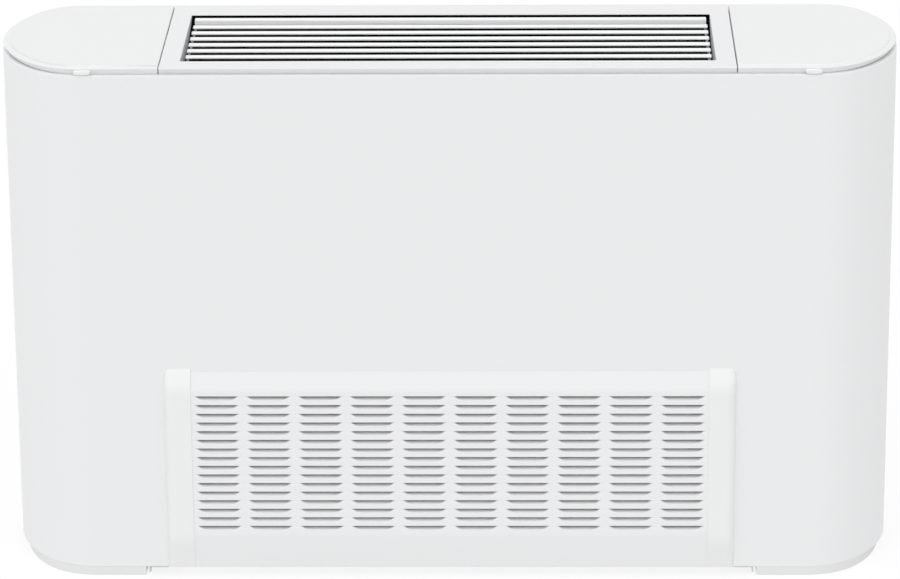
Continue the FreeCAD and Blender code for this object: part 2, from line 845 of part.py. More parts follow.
def make_impeller():
    start = scroll_start + impeller_side_gap
    end = scroll_end - impeller_side_gap
    middle = (start + end) / 2
    y = fan_axis_y
    z = fan_axis_z
    blade = Part.Face(blade_outline(start)).extrude(vec(end - start, 0, 0))
    blades = []
    for k in range(blade_count):
        turned = blade.copy()
        turned.rotate(vec(0, y, z), vec(1, 0, 0), k * 360 / blade_count)
        blades.append(turned)
    rings = []
    for x in (start, end - impeller_ring):
        ring = rod_x(impeller_radius, x, x + impeller_ring, y, z)
        rings.append(cut(ring, rod_x(impeller_root + impeller_ring, x, x + impeller_ring, y, z)))
    half = impeller_disc / 2
    disc = rod_x(impeller_radius - impeller_ring, middle - half, middle + half, y, z)
    hub = rod_x(hub_radius, middle - hub_length / 2, middle + hub_length / 2, y, z)
    wheel = join(disc, hub, *rings, *blades)
    return cut(wheel, rod_x(shaft_radius, start, end, y, z))


def make_shaft():
    end = scroll_end - shaft_end_gap
    return rod_x(shaft_radius, -end, end, fan_axis_y, fan_axis_z)


def boss_end():
    return motor_half_length + end_bell_length + boss_length


def make_motor():
    y = fan_axis_y
    z = fan_axis_z
    bell = motor_half_length + end_bell_length
    can = rod_x(motor_radius, -motor_half_length, motor_half_length, y, z)
    bells = rod_x(end_bell_radius, -bell, bell, y, z)
    bosses = rod_x(boss_radius, -boss_end(), boss_end(), y, z)
    motor = join(can, bells, bosses)
    return cut(motor, rod_x(shaft_radius + running_fit, -boss_end() - overrun, boss_end() + overrun, y, z))


def grommet_span():
    start = motor_half_length + end_bell_length + grommet_offset
    return start, start + grommet_width


def make_grommets():
    x0, x1 = grommet_span()
    ring = rod_x(grommet_radius, x0, x1, fan_axis_y, fan_axis_z)
    ring = cut(ring, rod_x(boss_radius + pin_fit, x0, x1, fan_axis_y, fan_axis_z))
    return Part.makeCompound([ring, mirrored(ring)])


def cradle_lug_span():
    x0, x1 = grommet_span()
    middle = (x0 + x1) / 2
    return middle - cradle_lug_width / 2, middle + cradle_lug_width / 2


def make_cradle():
    """Two arms under one plate; each arm holds the upper half of a grommet."""
    x0, x1 = cradle_lug_span()
    y = fan_axis_y
    z = fan_axis_z
    middle = (x0 + x1) / 2
    arm_start = middle - cradle_sheet / 2
    y0 = y - cradle_half_depth
    y1 = y + cradle_half_depth
    arm = box(arm_start, arm_start + cradle_sheet, y0, y1, z, deck_height)
    lug_y = cradle_half_depth + cradle_lug
    lug = box(x0, x1, y - lug_y, y + lug_y, z, z + cradle_sheet)
    seat = rod_x(grommet_radius + pin_fit, x0 - overrun, x1 + overrun, y, z)
    arm = cut(join(arm, lug), seat)
    plate = box(-x1, x1, y0, y1, deck_height - cradle_sheet, deck_height)
    return join(plate, arm, mirrored(arm))


def make_bands():
    """Lower halves of the grommet clamps."""
    x0, x1 = cradle_lug_span()
    y = fan_axis_y
    z = fan_axis_z
    lug_y = cradle_half_depth + cradle_lug
    ring = rod_x(grommet_radius + pin_fit + band_sheet, x0, x1, y, z)
    tabs = box(x0, x1, y - lug_y, y + lug_y, z - band_sheet, z)
    lower = box(x0 - overrun, x1 + overrun, y - lug_y, y + lug_y, z - body_depth, z)
    band = join(ring.common(lower), tabs)
    band = cut(band, rod_x(grommet_radius + pin_fit, x0 - overrun, x1 + overrun, y, z))
    return Part.makeCompound([band, mirrored(band)])


def make_capacitor():
    y = fan_axis_y + capacitor_offset
    z = deck_height - capacitor_foot - capacitor_radius / 2
    half = capacitor_length / 2
    can = rod_x(capacitor_radius, -half, half, y, z)
    foot = box(-half / 2, half / 2, y - capacitor_foot, y + capacitor_foot, z, deck_height)
    return join(can, foot)


def coil_point(across, along):
    """Place (y, z) of a point given across the coil's depth and along its slanted height."""
    y = coil_centre_y + along * slant_sine + across * slant_cosine
    z = coil_centre_z + along * slant_cosine - across * slant_sine
    return y, z


def coil_slab(depth, low, high, x0, x1):
    corners = [(-depth, low), (depth, low), (depth, high), (-depth, high)]
    return prism_x([coil_point(a, b) for a, b in corners], x0, x1)


def tube_place(row, index):
    across = (row - 0.5) * row_pitch
    along = (index - (tube_rows - 1) / 2) * tube_pitch
    return coil_point(across, along)


def tube_places():
    return [tube_place(row, index) for row in (0, 1) for index in range(tube_rows)]


def make_fins():
    half = coil_height / 2
    slab = coil_slab(coil_depth / 2, -half, half, -fin_end, fin_end)
    end = fin_end + overrun
    holes = [rod_x(tube_radius + tube_fit, -end, end, y, z) for y, z in tube_places()]
    return cut(slab, *holes)


def tube_path(row):
    """Centre line of one circuit: straight runs joined by half-round bends, both ends on the left."""
    edges = []
    bend = tube_pitch / 2
    for index in range(tube_rows):
        y, z = tube_place(row, index)
        left = tube_end if index in (0, tube_rows - 1) else -plate_end
        edges.append(Part.makeLine(vec(left, y, z), vec(plate_end, y, z)))
        if index + 1 < tube_rows:
            side = 1 if index % 2 == 0 else -1
            next_y, next_z = tube_place(row, index + 1)
            crown = vec(side * (plate_end + bend), y + bend * slant_sine, z + bend * slant_cosine)
            start = vec(side * plate_end, y, z)
            edges.append(Part.Arc(start, crown, vec(side * plate_end, next_y, next_z)).toShape())
    return Part.Wire(Part.__sortEdges__(edges))


def make_tubes():
    circuits = []
    for row in (0, 1):
        path = tube_path(row)
        y, z = tube_place(row, 0)
        pipes = []
        for radius in (tube_radius, tube_radius - tube_wall):
            ring = Part.Wire(Part.makeCircle(radius, vec(tube_end, y, z), vec(1, 0, 0)))
            pipes.append(path.makePipeShell([ring], True, False))
        circuits.append(pipes[0].cut(pipes[1]))
    return Part.makeCompound(circuits)


def make_coil_plate():
    """Right-hand end plate of the coil, with two flanges that reach the frame."""
    half = coil_height / 2
    depth = coil_depth / 2 + coil_margin
    web = coil_slab(depth, -half, half, fin_end, plate_end)
    low = half * flange_low_share
    high = half * flange_high_share
    flanges = coil_slab(depth, low, high, plate_end, frame_in)
    flanges = cut(flanges, coil_slab(depth - coil_sheet, low - overrun, high + overrun, plate_end, frame_in))
    end = plate_end + overrun
    holes = [rod_x(tube_radius + tube_fit, fin_end - overrun, end, y, z) for y, z in tube_places()]
    return cut(join(web, flanges), *holes)


def header_ends():
    """Height and tube ends of the supply header, then of the return header."""
    groups = []
    for index in (0, tube_rows - 1):
        ends = [tube_place(row, index) for row in (0, 1)]
        groups.append((sum(z for _, z in ends) / len(ends), ends))
    return groups


def make_header(z, ends):
    start = min(y for y, _ in ends) - tube_radius - header_tail
    end = union_mouth - union_length
    pipe = rod_y(header_radius, header_x, start, end, z)
    pipe = cut(pipe, rod_y(header_radius - header_wall, header_x, start + header_wall, end + overrun, z))
    return cut(pipe, *[rod_x(tube_radius + tube_fit, header_x, frame_in, y, tube_z) for y, tube_z in ends])


def make_union(z):
    """Threaded hexagon on the rear end of a header, its mouth towards the wall."""
    start = union_mouth - union_length
    corner = union_flats / math.sqrt(3)
    points = []
    for k in range(6):
        angle = k * math.pi / 3
        points.append((header_x + corner * math.sin(angle), z + corner * math.cos(angle)))
    hexagon = prism_y(points, start, union_mouth)
    thread = rod_y(union_bore, header_x, union_mouth - union_thread_length, union_mouth + overrun, z)
    return cut(hexagon, thread, rod_y(header_radius - header_wall, header_x, start - overrun, union_mouth, z))


def vent_y():
    return (min(y for y, _ in header_ends()[1][1]) + union_mouth - union_length) / 2


def make_vent():
    crown = header_ends()[1][0] + header_radius
    top = crown + vent_height
    stem = rod_z(vent_radius, header_x, vent_y(), crown - header_wall, top)
    cap = rod_z(vent_cap_radius, header_x, vent_y(), top, top + vent_cap_height)
    return join(stem, cap)


def pan_end():
    return frame_in - pan_end_gap


def spigot_z():
    return deck_top + spigot_lift


def make_drain_pan():
    front = pan_front
    back = coil_point(coil_depth / 2, -coil_height / 2)[0] + pan_back_margin
    pan = box(-pan_end(), pan_end(), front, back, deck_top, deck_top + pan_height)
    wall = pan_wall
    x = pan_end() - wall
    room = box(-x, x, front + wall, back - wall, deck_top + wall, deck_top + pan_height + overrun)
    drain = rod_x(spigot_bore, -frame_in, -x + overrun, spigot_y, spigot_z())
    return cut(pan, room, drain)


def make_spigot():
    start = -pan_end()
    flange = rod_x(spigot_flange_radius, start - pan_end_gap, start, spigot_y, spigot_z())
    pipe = rod_x(spigot_radius, start - spigot_reach, start, spigot_y, spigot_z())
    root = rod_x(spigot_root_radius, start - spigot_root, start, spigot_y, spigot_z())
    bore = rod_x(spigot_bore, start - spigot_reach - overrun, start + overrun, spigot_y, spigot_z())
    return cut(join(flange, root, pipe), bore)


def make_frame_side_left():
    end = overrun - frame_in
    holes = [rod_x(spigot_root_radius + spigot_fit, -frame_edge, end, spigot_y, spigot_z())]
    for _, ends in header_ends():
        holes += [rod_x(tube_radius + frame_hole_fit, -frame_edge, end, y, z) for y, z in ends]
    return cut(mirrored(make_frame_side()), *holes)


def cable_pass():
    y = box_y + box_depth / 2
    z = box_bottom + block_lift / 2
    return rod_x(cable_pass_radius, frame_in - overrun, frame_out + box_wall + overrun, y, z)


def gland_place():
    return frame_out + box_reach * gland_reach_share, box_y + gland_inset


def make_terminal_box():
    x = frame_out + box_reach
    wall = box_wall
    case = box(frame_out, x, box_y, box_y + box_depth, box_bottom, box_bottom + box_height)
    room = box(frame_out + wall, x + overrun, box_y + wall, box_y + box_depth - wall, box_bottom + wall,
               box_bottom + box_height - wall)
    gland_x, gland_y = gland_place()
    hole = rod_z(gland_radius + pin_fit, gland_x, gland_y, box_bottom - overrun, box_bottom + wall + overrun)
    return cut(case, room, hole, cable_pass())


def make_box_cover():
    """Flat cover with a lip that seats inside the box."""
    x = frame_out + box_reach
    lid = box(x, x + box_lid, box_y, box_y + box_depth, box_bottom, box_bottom + box_height)
    inset = box_wall + skirt_fit
    y1 = box_y + box_depth - inset
    z1 = box_bottom + box_height - inset
    lip = box(x - box_wall, x, box_y + inset, y1, box_bottom + inset, z1)
    inset += box_wall
    room = box(x - box_wall, x, box_y + inset, y1 - box_wall, box_bottom + inset, z1 - box_wall)
    return join(lid, cut(lip, room))


def make_terminal_block():
    x = frame_out + box_wall
    y0 = box_y + block_inset
    y1 = box_y + box_depth - block_inset
    z = box_bottom + block_lift
    block = box(x, x + block_reach, y0, y1, z, z + block_height)
    pitch = (y1 - y0) / block_poles
    wells = []
    for k in range(block_poles):
        y = y0 + (k + 0.5) * pitch
        half = pitch / 2 - block_barrier / 2
        face = x + block_reach - block_well / 2
        top = z + block_height + overrun
        wells.append(box(face, x + block_reach + overrun, y - half, y + half, z - overrun, top))
        middle = z + block_height / 2
        wells.append(rod_x(block_screw_radius, face - block_well / 2, face + overrun, y, middle))
    return cut(block, *wells)


def make_gland():
    x, y = gland_place()
    low = box_bottom - gland_length / 2
    body = rod_z(gland_radius, x, y, low, low + gland_length)
    nut = rod_z(gland_nut, x, y, box_bottom - gland_nut_height, box_bottom)
    inside = rod_z(gland_nut, x, y, box_bottom + box_wall, box_bottom + box_wall + gland_nut_height / 2)
    return cut(join(body, nut, inside), rod_z(gland_bore, x, y, low - overrun, low + gland_length + overrun))


def make_collar():
    collar = box(-frame_in, frame_in, inner_back, rear_in, collar_bottom, collar_top)
    x = outlet_end + fold_sheet + collar_play
    front = outlet_front - fold_sheet - collar_play
    back = outlet_rear + fold_sheet + collar_play
    return cut(collar, box(-x, x, front, back, collar_bottom - overrun, collar_top + overrun))


def insert_span():
    return outlet_front + insert_play_y, outlet_rear - insert_play_y


def insert_bottom():
    return cover_under - outlet_fold + fold_sheet


def make_insert_frame():
    x = outlet_end - insert_play_x
    front, back = insert_span()
    low = insert_bottom()
    top = body_height - insert_drop
    ring = box(-x, x, front, back, low, top - insert_step)
    wall = insert_wall
    room = box(wall - x, x - wall, front + wall, back - rear_rail, low - overrun, top)
    rail = box(-x, x, back - rear_rail, back, low, top)
    return join(cut(ring, room), rail)


def make_slats():
    x = outlet_end - insert_play_x - insert_wall
    tilt = math.radians(slat_tilt_deg)
    run = slat_chord * math.cos(tilt)
    rise = slat_chord * math.sin(tilt)
    top = body_height - insert_drop - insert_step
    slats = []
    for k in range(slat_count):
        y = outlet_rear - slat_first - k * slat_pitch
        back = y + run / 2
        front = y - run / 2
        outline = [(front, top - rise), (back, top), (back, top - slat_thickness)]
        outline += [(front, top - rise - slat_thickness)]
        slats.append(prism_x(outline, -x, x))
    return Part.makeCompound(slats)


def screw_head(y, z):
    """Slotted head on the outer face of the right-hand side plate."""
    end = frame_out + screw_head_height
    head = rod_x(screw_head_radius, frame_out, end, y, z)
    half = screw_slot / 2
    low = z - screw_head_radius
    high = z + screw_head_radius
    slot = box(end - screw_slot_depth, end + overrun, y - half, y + half, low, high)
    return cut(head, slot)


def make_screws():
    places = []
    for side in (-1, 1):
        places.append((mid_y + side * body_depth * deck_screw_share, deck_height + deck_screw_lift))
        for share in (coil_screw_low_share, coil_screw_high_share):
            places.append(coil_point(side * (coil_depth / 2 + coil_margin), coil_height / 2 * share))
    heads = [screw_head(y, z) for y, z in places]
    return Part.makeCompound(heads + [mirrored(head) for head in heads])


save("front_panel", make_front_panel())
bare_skirt = make_skirt()
save("bottom_cap_right", cut(bare_skirt, floor_hole(cable_hole_radius)))
save("bottom_cap_left", mirrored(cut(bare_skirt, floor_hole(pipe_hole_radius))))
save("top_frame", make_top_frame())
save_pair("lid", make_lid())
save_pair("lid_bracket", make_lid_bracket())
save_pair("lid_pin", make_lid_pin())
save("frame_side_right", cut(make_frame_side(), cable_pass()))
save("frame_side_left", make_frame_side_left())
save("rear_panel", make_rear_panel())
save("bottom_plate", make_bottom_plate())
save("inner_front", make_inner_front())
door_pin = make_door_pin()
save("grille_hinge_pins", Part.makeCompound([door_pin, mirrored(door_pin)]))
save("intake_grille", make_intake_grille())
save_pair("grille_end_cap", make_end_cap())
save_pair("filter_guide", make_filter_guide())
save("filter_frame", make_filter_frame())
save("filter_mesh", make_filter_mesh())
save("fan_deck", make_fan_deck())
save_pair("scroll", make_scroll())
save_pair("impeller", make_impeller())
save("motor_shaft", make_shaft())
save("motor", make_motor())
save("motor_grommets", make_grommets())
save("motor_cradle", make_cradle())
save("motor_bands", make_bands())
save("capacitor", make_capacitor())
save("coil_fins", make_fins())
save("coil_tubes", make_tubes())
save_pair("coil_plate", make_coil_plate())
for name, (height, tube_ends) in zip(("supply", "return"), header_ends()):
    header = make_header(height, tube_ends)
    if name == "return":
        stem_hole = rod_z(vent_radius + pin_fit, header_x, vent_y(), height, height + header_radius + overrun)
        header = header.cut(stem_hole)
    save("header_" + name, header)
    save("union_" + name, make_union(height))
save("air_vent", make_vent())
save("drain_pan", make_drain_pan())
save("drain_spigot", make_spigot())
save("terminal_box", make_terminal_box())
save("terminal_box_cover", make_box_cover())
save("terminal_block", make_terminal_block())
save("cable_gland", make_gland())
save("outlet_collar", make_collar())
save("outlet_insert_frame", make_insert_frame())
save("outlet_slats", make_slats())
save("frame_screws", make_screws())
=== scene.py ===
"""Looks of a floor-ceiling fan coil unit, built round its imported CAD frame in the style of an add-on."""
import functools
import json
import math

import bmesh
import bpy
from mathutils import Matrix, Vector


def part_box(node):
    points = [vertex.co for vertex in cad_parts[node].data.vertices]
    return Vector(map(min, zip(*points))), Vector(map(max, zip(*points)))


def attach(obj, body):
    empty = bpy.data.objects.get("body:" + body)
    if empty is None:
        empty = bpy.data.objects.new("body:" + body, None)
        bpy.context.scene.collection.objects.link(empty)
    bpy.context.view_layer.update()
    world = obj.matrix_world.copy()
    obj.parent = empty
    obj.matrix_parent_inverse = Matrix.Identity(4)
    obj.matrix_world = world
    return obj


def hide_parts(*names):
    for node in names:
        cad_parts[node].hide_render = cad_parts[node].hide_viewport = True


bl_info = {
    "name": "Fan Coil Unit Looks",
    "version": (1, 0, 0),
    "blender": (4, 5, 0),
    "location": "View3D > Sidebar > Fan Coil",
    "description": "Builds the visible pieces, finishes and stage of a fan coil unit",
    "category": "Object",
}

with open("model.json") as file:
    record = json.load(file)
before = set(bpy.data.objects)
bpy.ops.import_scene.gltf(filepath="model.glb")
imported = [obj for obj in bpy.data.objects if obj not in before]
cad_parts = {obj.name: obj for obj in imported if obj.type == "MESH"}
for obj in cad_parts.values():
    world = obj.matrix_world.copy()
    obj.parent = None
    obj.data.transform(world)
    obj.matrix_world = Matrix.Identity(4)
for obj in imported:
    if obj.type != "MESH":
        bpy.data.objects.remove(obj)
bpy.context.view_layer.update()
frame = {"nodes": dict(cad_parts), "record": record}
MM = 0.001
# How far a cut runs past what it cuts
OVERRUN = 10 * MM
SMOOTH_DEGREES = 32.0
EDGE_DEGREES = 40.0
WHITE = (1, 1, 1, 1)
FLOAT = "NodeSocketFloat"
VECTOR = "NodeSocketVector"


def length(name, description, default):
    """A size in metres."""
    return bpy.props.FloatProperty(name=name, description=description, default=default, unit="LENGTH",
                                   precision=5)


def tint(name, description, default):
    """A colour."""
    return bpy.props.FloatVectorProperty(name=name, description=description, default=default,
                                         subtype="COLOR", size=3, min=0, max=1)


def share(name, description, default):
    """A plain factor."""
    return bpy.props.FloatProperty(name=name, description=description, default=default, subtype="FACTOR")


def count(name, description, default):
    """A number of like pieces."""
    return bpy.props.IntProperty(name=name, description=description, default=default, min=1)


class FanCoilCasing(bpy.types.PropertyGroup):
    """Sizes of the painted casing that the CAD boxes alone don't give."""
    front_reach: length("Front reach", "How far the rounded end runs in along the front", 0.077)
    rear_reach: length("Rear reach", "How far the rounded end runs in along the back", 0.064)
    front_share: share("Front end share", "End arc's radius at the front, in shares of half the depth", 1.18)
    rear_share: share("Rear end share", "End arc's radius at the back, in shares of half the depth", 1.40)
    sheet: length("Sheet", "Thickness of the painted sheet", 0.0015)
    edge_radius: length("Edge radius", "Bend at the top edge of the front panel", 0.0016)
    flange: length("Flange", "Width of the panel's top flange", 0.012)
    rear_return: length("Rear return", "Straight length of sheet behind each rounded end", 0.014)
    cover_inset: length("Cover inset", "How far the top cover sits inside the casing outline", 0.0006)
    cover_wall: length("Cover wall", "Thickness of the top cover", 0.0025)
    rim_set_back: length("Rim set-back", "How far the foot of the cover's rim leans in", 0.0034)
    rim_round: length("Rim round", "Rounding at the top of the cover's rim", 0.0008)
    rim_gap: length("Rim gap", "Gap between the rim and the front panel", 0.0001)
    rim_lift: length("Rim lift", "How far the rim's foot rises towards the rounded ends", 0.0009)
    shoulder: length("Shoulder", "Width of the low band round the cover", 0.0062)
    shoulder_drop: length("Shoulder drop", "How far that band lies below the cover's top", 0.0007)
    split_edge: length("Split edge", "Broken edge where the lids meet the fixed top", 0.0004)
    tab_place: length("Tab place", "Distance of a finger tab from the middle", 0.3164)
    tab_width: length("Tab width", "Width of a finger tab", 0.0145)
    tab_height: length("Tab height", "Height of a finger tab", 0.0046)
    tab_proud: length("Tab proud", "How far a finger tab stands out", 0.0014)
    door_gap: length("Door gap", "Seam between the front panel and the intake grille", 0.00005)
    door_drop: length("Door drop", "How far the grille's visible top lies below its CAD box", 0.0013)
    cap_corner: length("Cap corner", "Rounding of the end caps' upper corners", 0.006)
    cap_lap: length("Cap lap", "How far an end cap laps over the edge of the panel's opening", 0.0012)
    cap_knee: length("Cap knee", "Height of the end caps' lower bend above the floor", 0.036)
    skirt_rise: length("Skirt rise", "How far a skirt laps over the panel's lower edge", 0.0022)
    skirt_fit: length("Skirt fit", "Gap between the skirt's rib and the panel", 0.0002)
    skirt_tuck: length("Skirt tuck", "How far a skirt's tip is drawn in under the panel", 0.0055)


class FanCoilGrille(bpy.types.PropertyGroup):
    """Sizes of the pressed louvres, the slats and the coil's fins."""
    columns: count("Columns", "Louvres in a row", 10)
    rows: count("Rows", "Rows of louvres", 16)
    row_pitch: length("Row pitch", "Distance between rows of louvres", 0.00826)
    upper_slope: length("Upper slope", "Height of the sloped edge above the louvres", 0.017)
    lower_slope: length("Lower slope", "Height of the sloped edge below the louvres", 0.0333)
    mouth: length("Mouth", "Width of a louvre along its slit", 0.0408)
    foot: length("Foot", "Width of a louvre along its lower edge", 0.0324)
    pocket: length("Pocket", "Height of a louvre", 0.0039)
    gap: length("Gap", "Height of the open slit", 0.0017)
    depth: length("Depth", "How far a louvre is pressed in", 0.0032)
    slats: count("Slats", "Slats of the outlet grille", 6)
    slat_pitch: length("Slat pitch", "Distance between the slats", 0.0187)
    slat_over: length("Slat overhang", "How far a slat runs past the outlet frame", 0.0008)
    fin_pitch: length("Fin pitch", "Distance between the coil's fins", 0.0021)
    fin_sheet: length("Fin sheet", "Thickness of a fin", 0.0003)
    coil_slant: bpy.props.FloatProperty(name="Coil slant", description="Lean of the coil towards the back",
                                        default=math.radians(35.0), subtype="ANGLE")


class FanCoilStage(bpy.types.PropertyGroup):
    """Camera, surroundings and the whites."""
    camera_place: bpy.props.FloatVectorProperty(
        name="Camera place", description="Where the camera stands", default=(0.07084, -3.75384, 1.56959),
        subtype="TRANSLATION")
    camera_turn: bpy.props.FloatVectorProperty(
        name="Camera turn", description="How the camera is turned", default=(1.23003, 0.00701, 0.01663),
        subtype="EULER")
    camera_lens: bpy.props.FloatProperty(
        name="Lens", description="Focal length in millimetres", default=176.75, unit="CAMERA")
    floor_size: length("Floor size", "Width of the white floor", 40.0)
    sky_base: share("Sky base", "Brightness of the surroundings", 0.657)
    sky_left: share("Sky left", "Extra brightness towards the left", 0.16)
    sky_front: share("Sky front", "Extra brightness towards the front", 0.45)
    sky_up: share("Sky up", "Extra brightness from above", 0.55)
    floor_glow: share("Floor glow", "How much light the floor sends up", 0.766)
    floor_shadow: share("Floor shadow", "How strongly the object's shadow shows on the floor", 0.15)
    panel_white: tint("Panel white", "Colour of the painted sheet", (0.835, 0.838, 0.842))
    plastic_white: tint("Plastic white", "Colour of the white mouldings", (0.845, 0.848, 0.852))
    # Lighter copy of the white moulding: a painted highlight on the outlet grille's frame and slats
    outlet_white: tint("Outlet white", "Colour of the outlet grille", (0.94, 0.942, 0.945))
    # Darker copy of the white moulding: painted shade on the skirts tucked low under the panel
    skirt_white: tint("Skirt white", "Colour of the low skirts", (0.785, 0.788, 0.792))


def settings():
    """The scene's casing, grille and stage values."""
    scene = bpy.context.scene
    return scene.fan_coil_casing, scene.fan_coil_grille, scene.fan_coil_stage


# Nodes


def node(tree, kind, links=(), **values):
    """Add a node, set its properties and inputs by name, and link its inputs."""
    made = tree.nodes.new(kind)
    for key, value in values.items():
        if key in made.inputs:
            made.inputs[key].default_value = value
        else:
            setattr(made, key, value)
    for key, source in dict(links).items():
        tree.links.new(source, made.inputs[key])
    return made


def math_node(tree, operation, first, second):
    """A math operation on two values, each a number or an output socket."""
    made = node(tree, "ShaderNodeMath", operation=operation)
    for index, value in enumerate((first, second)):
        if isinstance(value, (int, float)):
            made.inputs[index].default_value = value
        else:
            tree.links.new(value, made.inputs[index])
    return made.outputs[0]


# Surface patterns: each gives the sockets of its tone and its relief


def grain_pattern(group, given):
    """Fine grain of paint and mouldings."""
    fine = node(group, "ShaderNodeTexNoise", {"Vector": given["Vector"], "Scale": given["Scale"]},
                Detail=3.0, Roughness=0.55)
    return fine.outputs[0], fine.outputs[0]


def spangle_pattern(group, given):
    """Zinc spangle of galvanised sheet: flat crystals."""
    cells = node(group, "ShaderNodeTexVoronoi", {"Vector": given["Vector"], "Scale": given["Scale"]})
    split = node(group, "ShaderNodeSeparateColor", {"Color": cells.outputs["Color"]})
    return split.outputs[1], split.outputs[0]


def drawn_pattern(group, given):
    """Drawn or turned metal: fine lines along X."""
    stretch = node(group, "ShaderNodeMapping", {"Vector": given["Vector"]}, Scale=(0.03, 1.0, 1.0))
    fine = node(group, "ShaderNodeTexNoise", {"Vector": stretch.outputs[0], "Scale": given["Scale"]},
                Detail=2.0)
    return fine.outputs[0], fine.outputs[0]


def weave_pattern(group, given):
    """Square weave of threads in the XZ plane."""
    axes = node(group, "ShaderNodeSeparateXYZ", {"Vector": given["Vector"]})
    bands = []
    for label in ("X", "Z"):
        turns = math_node(group, "MULTIPLY", axes.outputs[label], given["Scale"])
        wave = math_node(group, "SINE", math_node(group, "MULTIPLY", turns, 2 * math.pi), 0.0)
        bands.append(math_node(group, "MAXIMUM", wave, 0.0))
    threads = math_node(group, "MAXIMUM", *bands)
    return threads, threads


def surface_group(name, pattern, strength, **defaults):
    """A shader group that puts out a pattern's tone, slow patches and a normal bumped by its relief."""
    group = bpy.data.node_groups.new(name, "ShaderNodeTree")
    group.interface.new_socket("Vector", in_out="INPUT", socket_type=VECTOR)
    for label, value in defaults.items():
        socket = group.interface.new_socket(label, in_out="INPUT", socket_type=FLOAT)
        socket.default_value = value
    for label, kind in (("Tone", FLOAT), ("Patches", FLOAT), ("Normal", VECTOR)):
        group.interface.new_socket(label, in_out="OUTPUT", socket_type=kind)
    given = group.nodes.new("NodeGroupInput").outputs
    tone, relief = pattern(group, given)
    slow = node(group, "ShaderNodeTexNoise", {"Vector": given["Vector"], "Scale": given["Patch"]}, Detail=2.0)
    bump = node(group, "ShaderNodeBump", {"Height": relief, "Distance": given["Height"]}, Strength=strength)
    node(group, "NodeGroupOutput", {"Tone": tone, "Patches": slow.outputs[0], "Normal": bump.outputs[0]})
    return group


def finish_material(name, group, colour, roughness, metallic=0.0, tone=0.02, patches=0.02, specular=0.5,
                    **effect):
    """A procedural finish: the group's masks vary colour and roughness, and its normal gives the relief."""
    rough_spread = 0.06
    material = bpy.data.materials.new(name)
    material.use_nodes = True
    tree = material.node_tree
    shader = tree.nodes["Principled BSDF"]
    place = tree.nodes.new("ShaderNodeTexCoord")
    made = node(tree, "ShaderNodeGroup", node_tree=group)
    tree.links.new(place.outputs["Object"], made.inputs["Vector"])
    for key, value in effect.items():
        made.inputs[key].default_value = value

    def swing(mask, amount):
        return math_node(tree, "MULTIPLY", math_node(tree, "SUBTRACT", made.outputs[mask], 0.5), amount)

    level = math_node(tree, "ADD", swing("Tone", tone), swing("Patches", patches))
    mix = node(tree, "ShaderNodeVectorMath", {"Scale": math_node(tree, "ADD", level, 1.0)}, operation="SCALE")
    mix.inputs[0].default_value = colour
    rough = math_node(tree, "ADD", swing("Patches", rough_spread), roughness)
    tree.links.new(mix.outputs[0], shader.inputs["Base Color"])
    tree.links.new(rough, shader.inputs["Roughness"])
    tree.links.new(made.outputs["Normal"], shader.inputs["Normal"])
    shader.inputs["Metallic"].default_value = metallic
    shader.inputs["Specular IOR Level"].default_value = specular
    return material


def make_finishes():
    """One finish for each material slot of the record, and two more whites: a lighter one that paints a
    highlight on the outlet grille, and a darker one that paints shade on the skirts.
    """
    stage = settings()[2]
    grain = surface_group("Surface Grain", grain_pattern, 1.0, Scale=900.0, Height=0.00002, Patch=9.0)
    spangle = surface_group("Zinc Spangle", spangle_pattern, 0.6, Scale=110.0, Height=0.00001, Patch=14.0)
    drawn = surface_group("Drawn Lines", drawn_pattern, 0.7, Scale=1400.0, Height=0.000006, Patch=20.0)
    weave = surface_group("Square Weave", weave_pattern, 0.8, Scale=420.0, Height=0.0002, Patch=8.0)
    paint = {"Scale": 700.0, "Height": 0.000012, "tone": 0.012, "patches": 0.012, "specular": 0.4}
    plastic = {**paint, "Scale": 2200.0, "tone": 0.015}
    fine_plastic = {**plastic, "tone": 0.01, "patches": 0.01}
    foam = {"Scale": 450.0, "Height": 0.0004, "tone": 0.8, "patches": 0.3, "specular": 0.15}

    def look(tone, patches, metallic=0.0, **effect):
        return {"tone": tone, "patches": patches, "metallic": metallic, **effect}

    # Each finish: pattern, colour, roughness and the rest
    table = {
        "casing_white": (grain, stage.panel_white, 0.42, paint),
        "white_plastic": (grain, stage.plastic_white, 0.5, plastic),
        # Lighter copy of the white moulding: painted highlight for the outlet grille
        "outlet_white": (grain, stage.outlet_white, 0.45, fine_plastic),
        # Darker copy of the white moulding: painted shade for the skirts
        "skirt_white": (grain, stage.skirt_white, 0.5, plastic),
        "galvanised_sheet": (spangle, (0.55, 0.565, 0.58), 0.42, look(0.22, 0.1, 0.85)),
        "steel": (drawn, (0.55, 0.555, 0.56), 0.3, look(0.15, 0.05, 1.0)),
        "black_plastic": (grain, (0.022, 0.022, 0.024), 0.5, look(0.2, 0.15)),
        "grey_plastic": (grain, (0.32, 0.33, 0.34), 0.48, look(0.06, 0.05)),
        "filter_cloth": (weave, (0.26, 0.265, 0.272), 0.85, look(1.2, 0.2)),
        "motor_paint": (grain, (0.03, 0.03, 0.032), 0.38, look(0.15, 0.1, Scale=500.0)),
        "black_rubber": (grain, (0.018, 0.018, 0.018), 0.7, look(0.2, 0.2)),
        "black_foam": (grain, (0.012, 0.012, 0.013), 0.95, foam),
        "bare_aluminium": (drawn, (0.72, 0.73, 0.74), 0.32, look(0.12, 0.06, 1.0)),
        "copper": (drawn, (0.72, 0.36, 0.21), 0.3, look(0.15, 0.25, 1.0)),
        "brass": (drawn, (0.72, 0.5, 0.2), 0.28, look(0.12, 0.1, 1.0)),
    }
    return {name: finish_material(name, group, colour, roughness, **options)
            for name, (group, colour, roughness, options) in table.items()}


def finish_of(name):
    """A finish that has been made."""
    if name not in bpy.data.materials:
        raise RuntimeError("no finish has been made for " + name)
    return bpy.data.materials[name]


# Mesh helpers


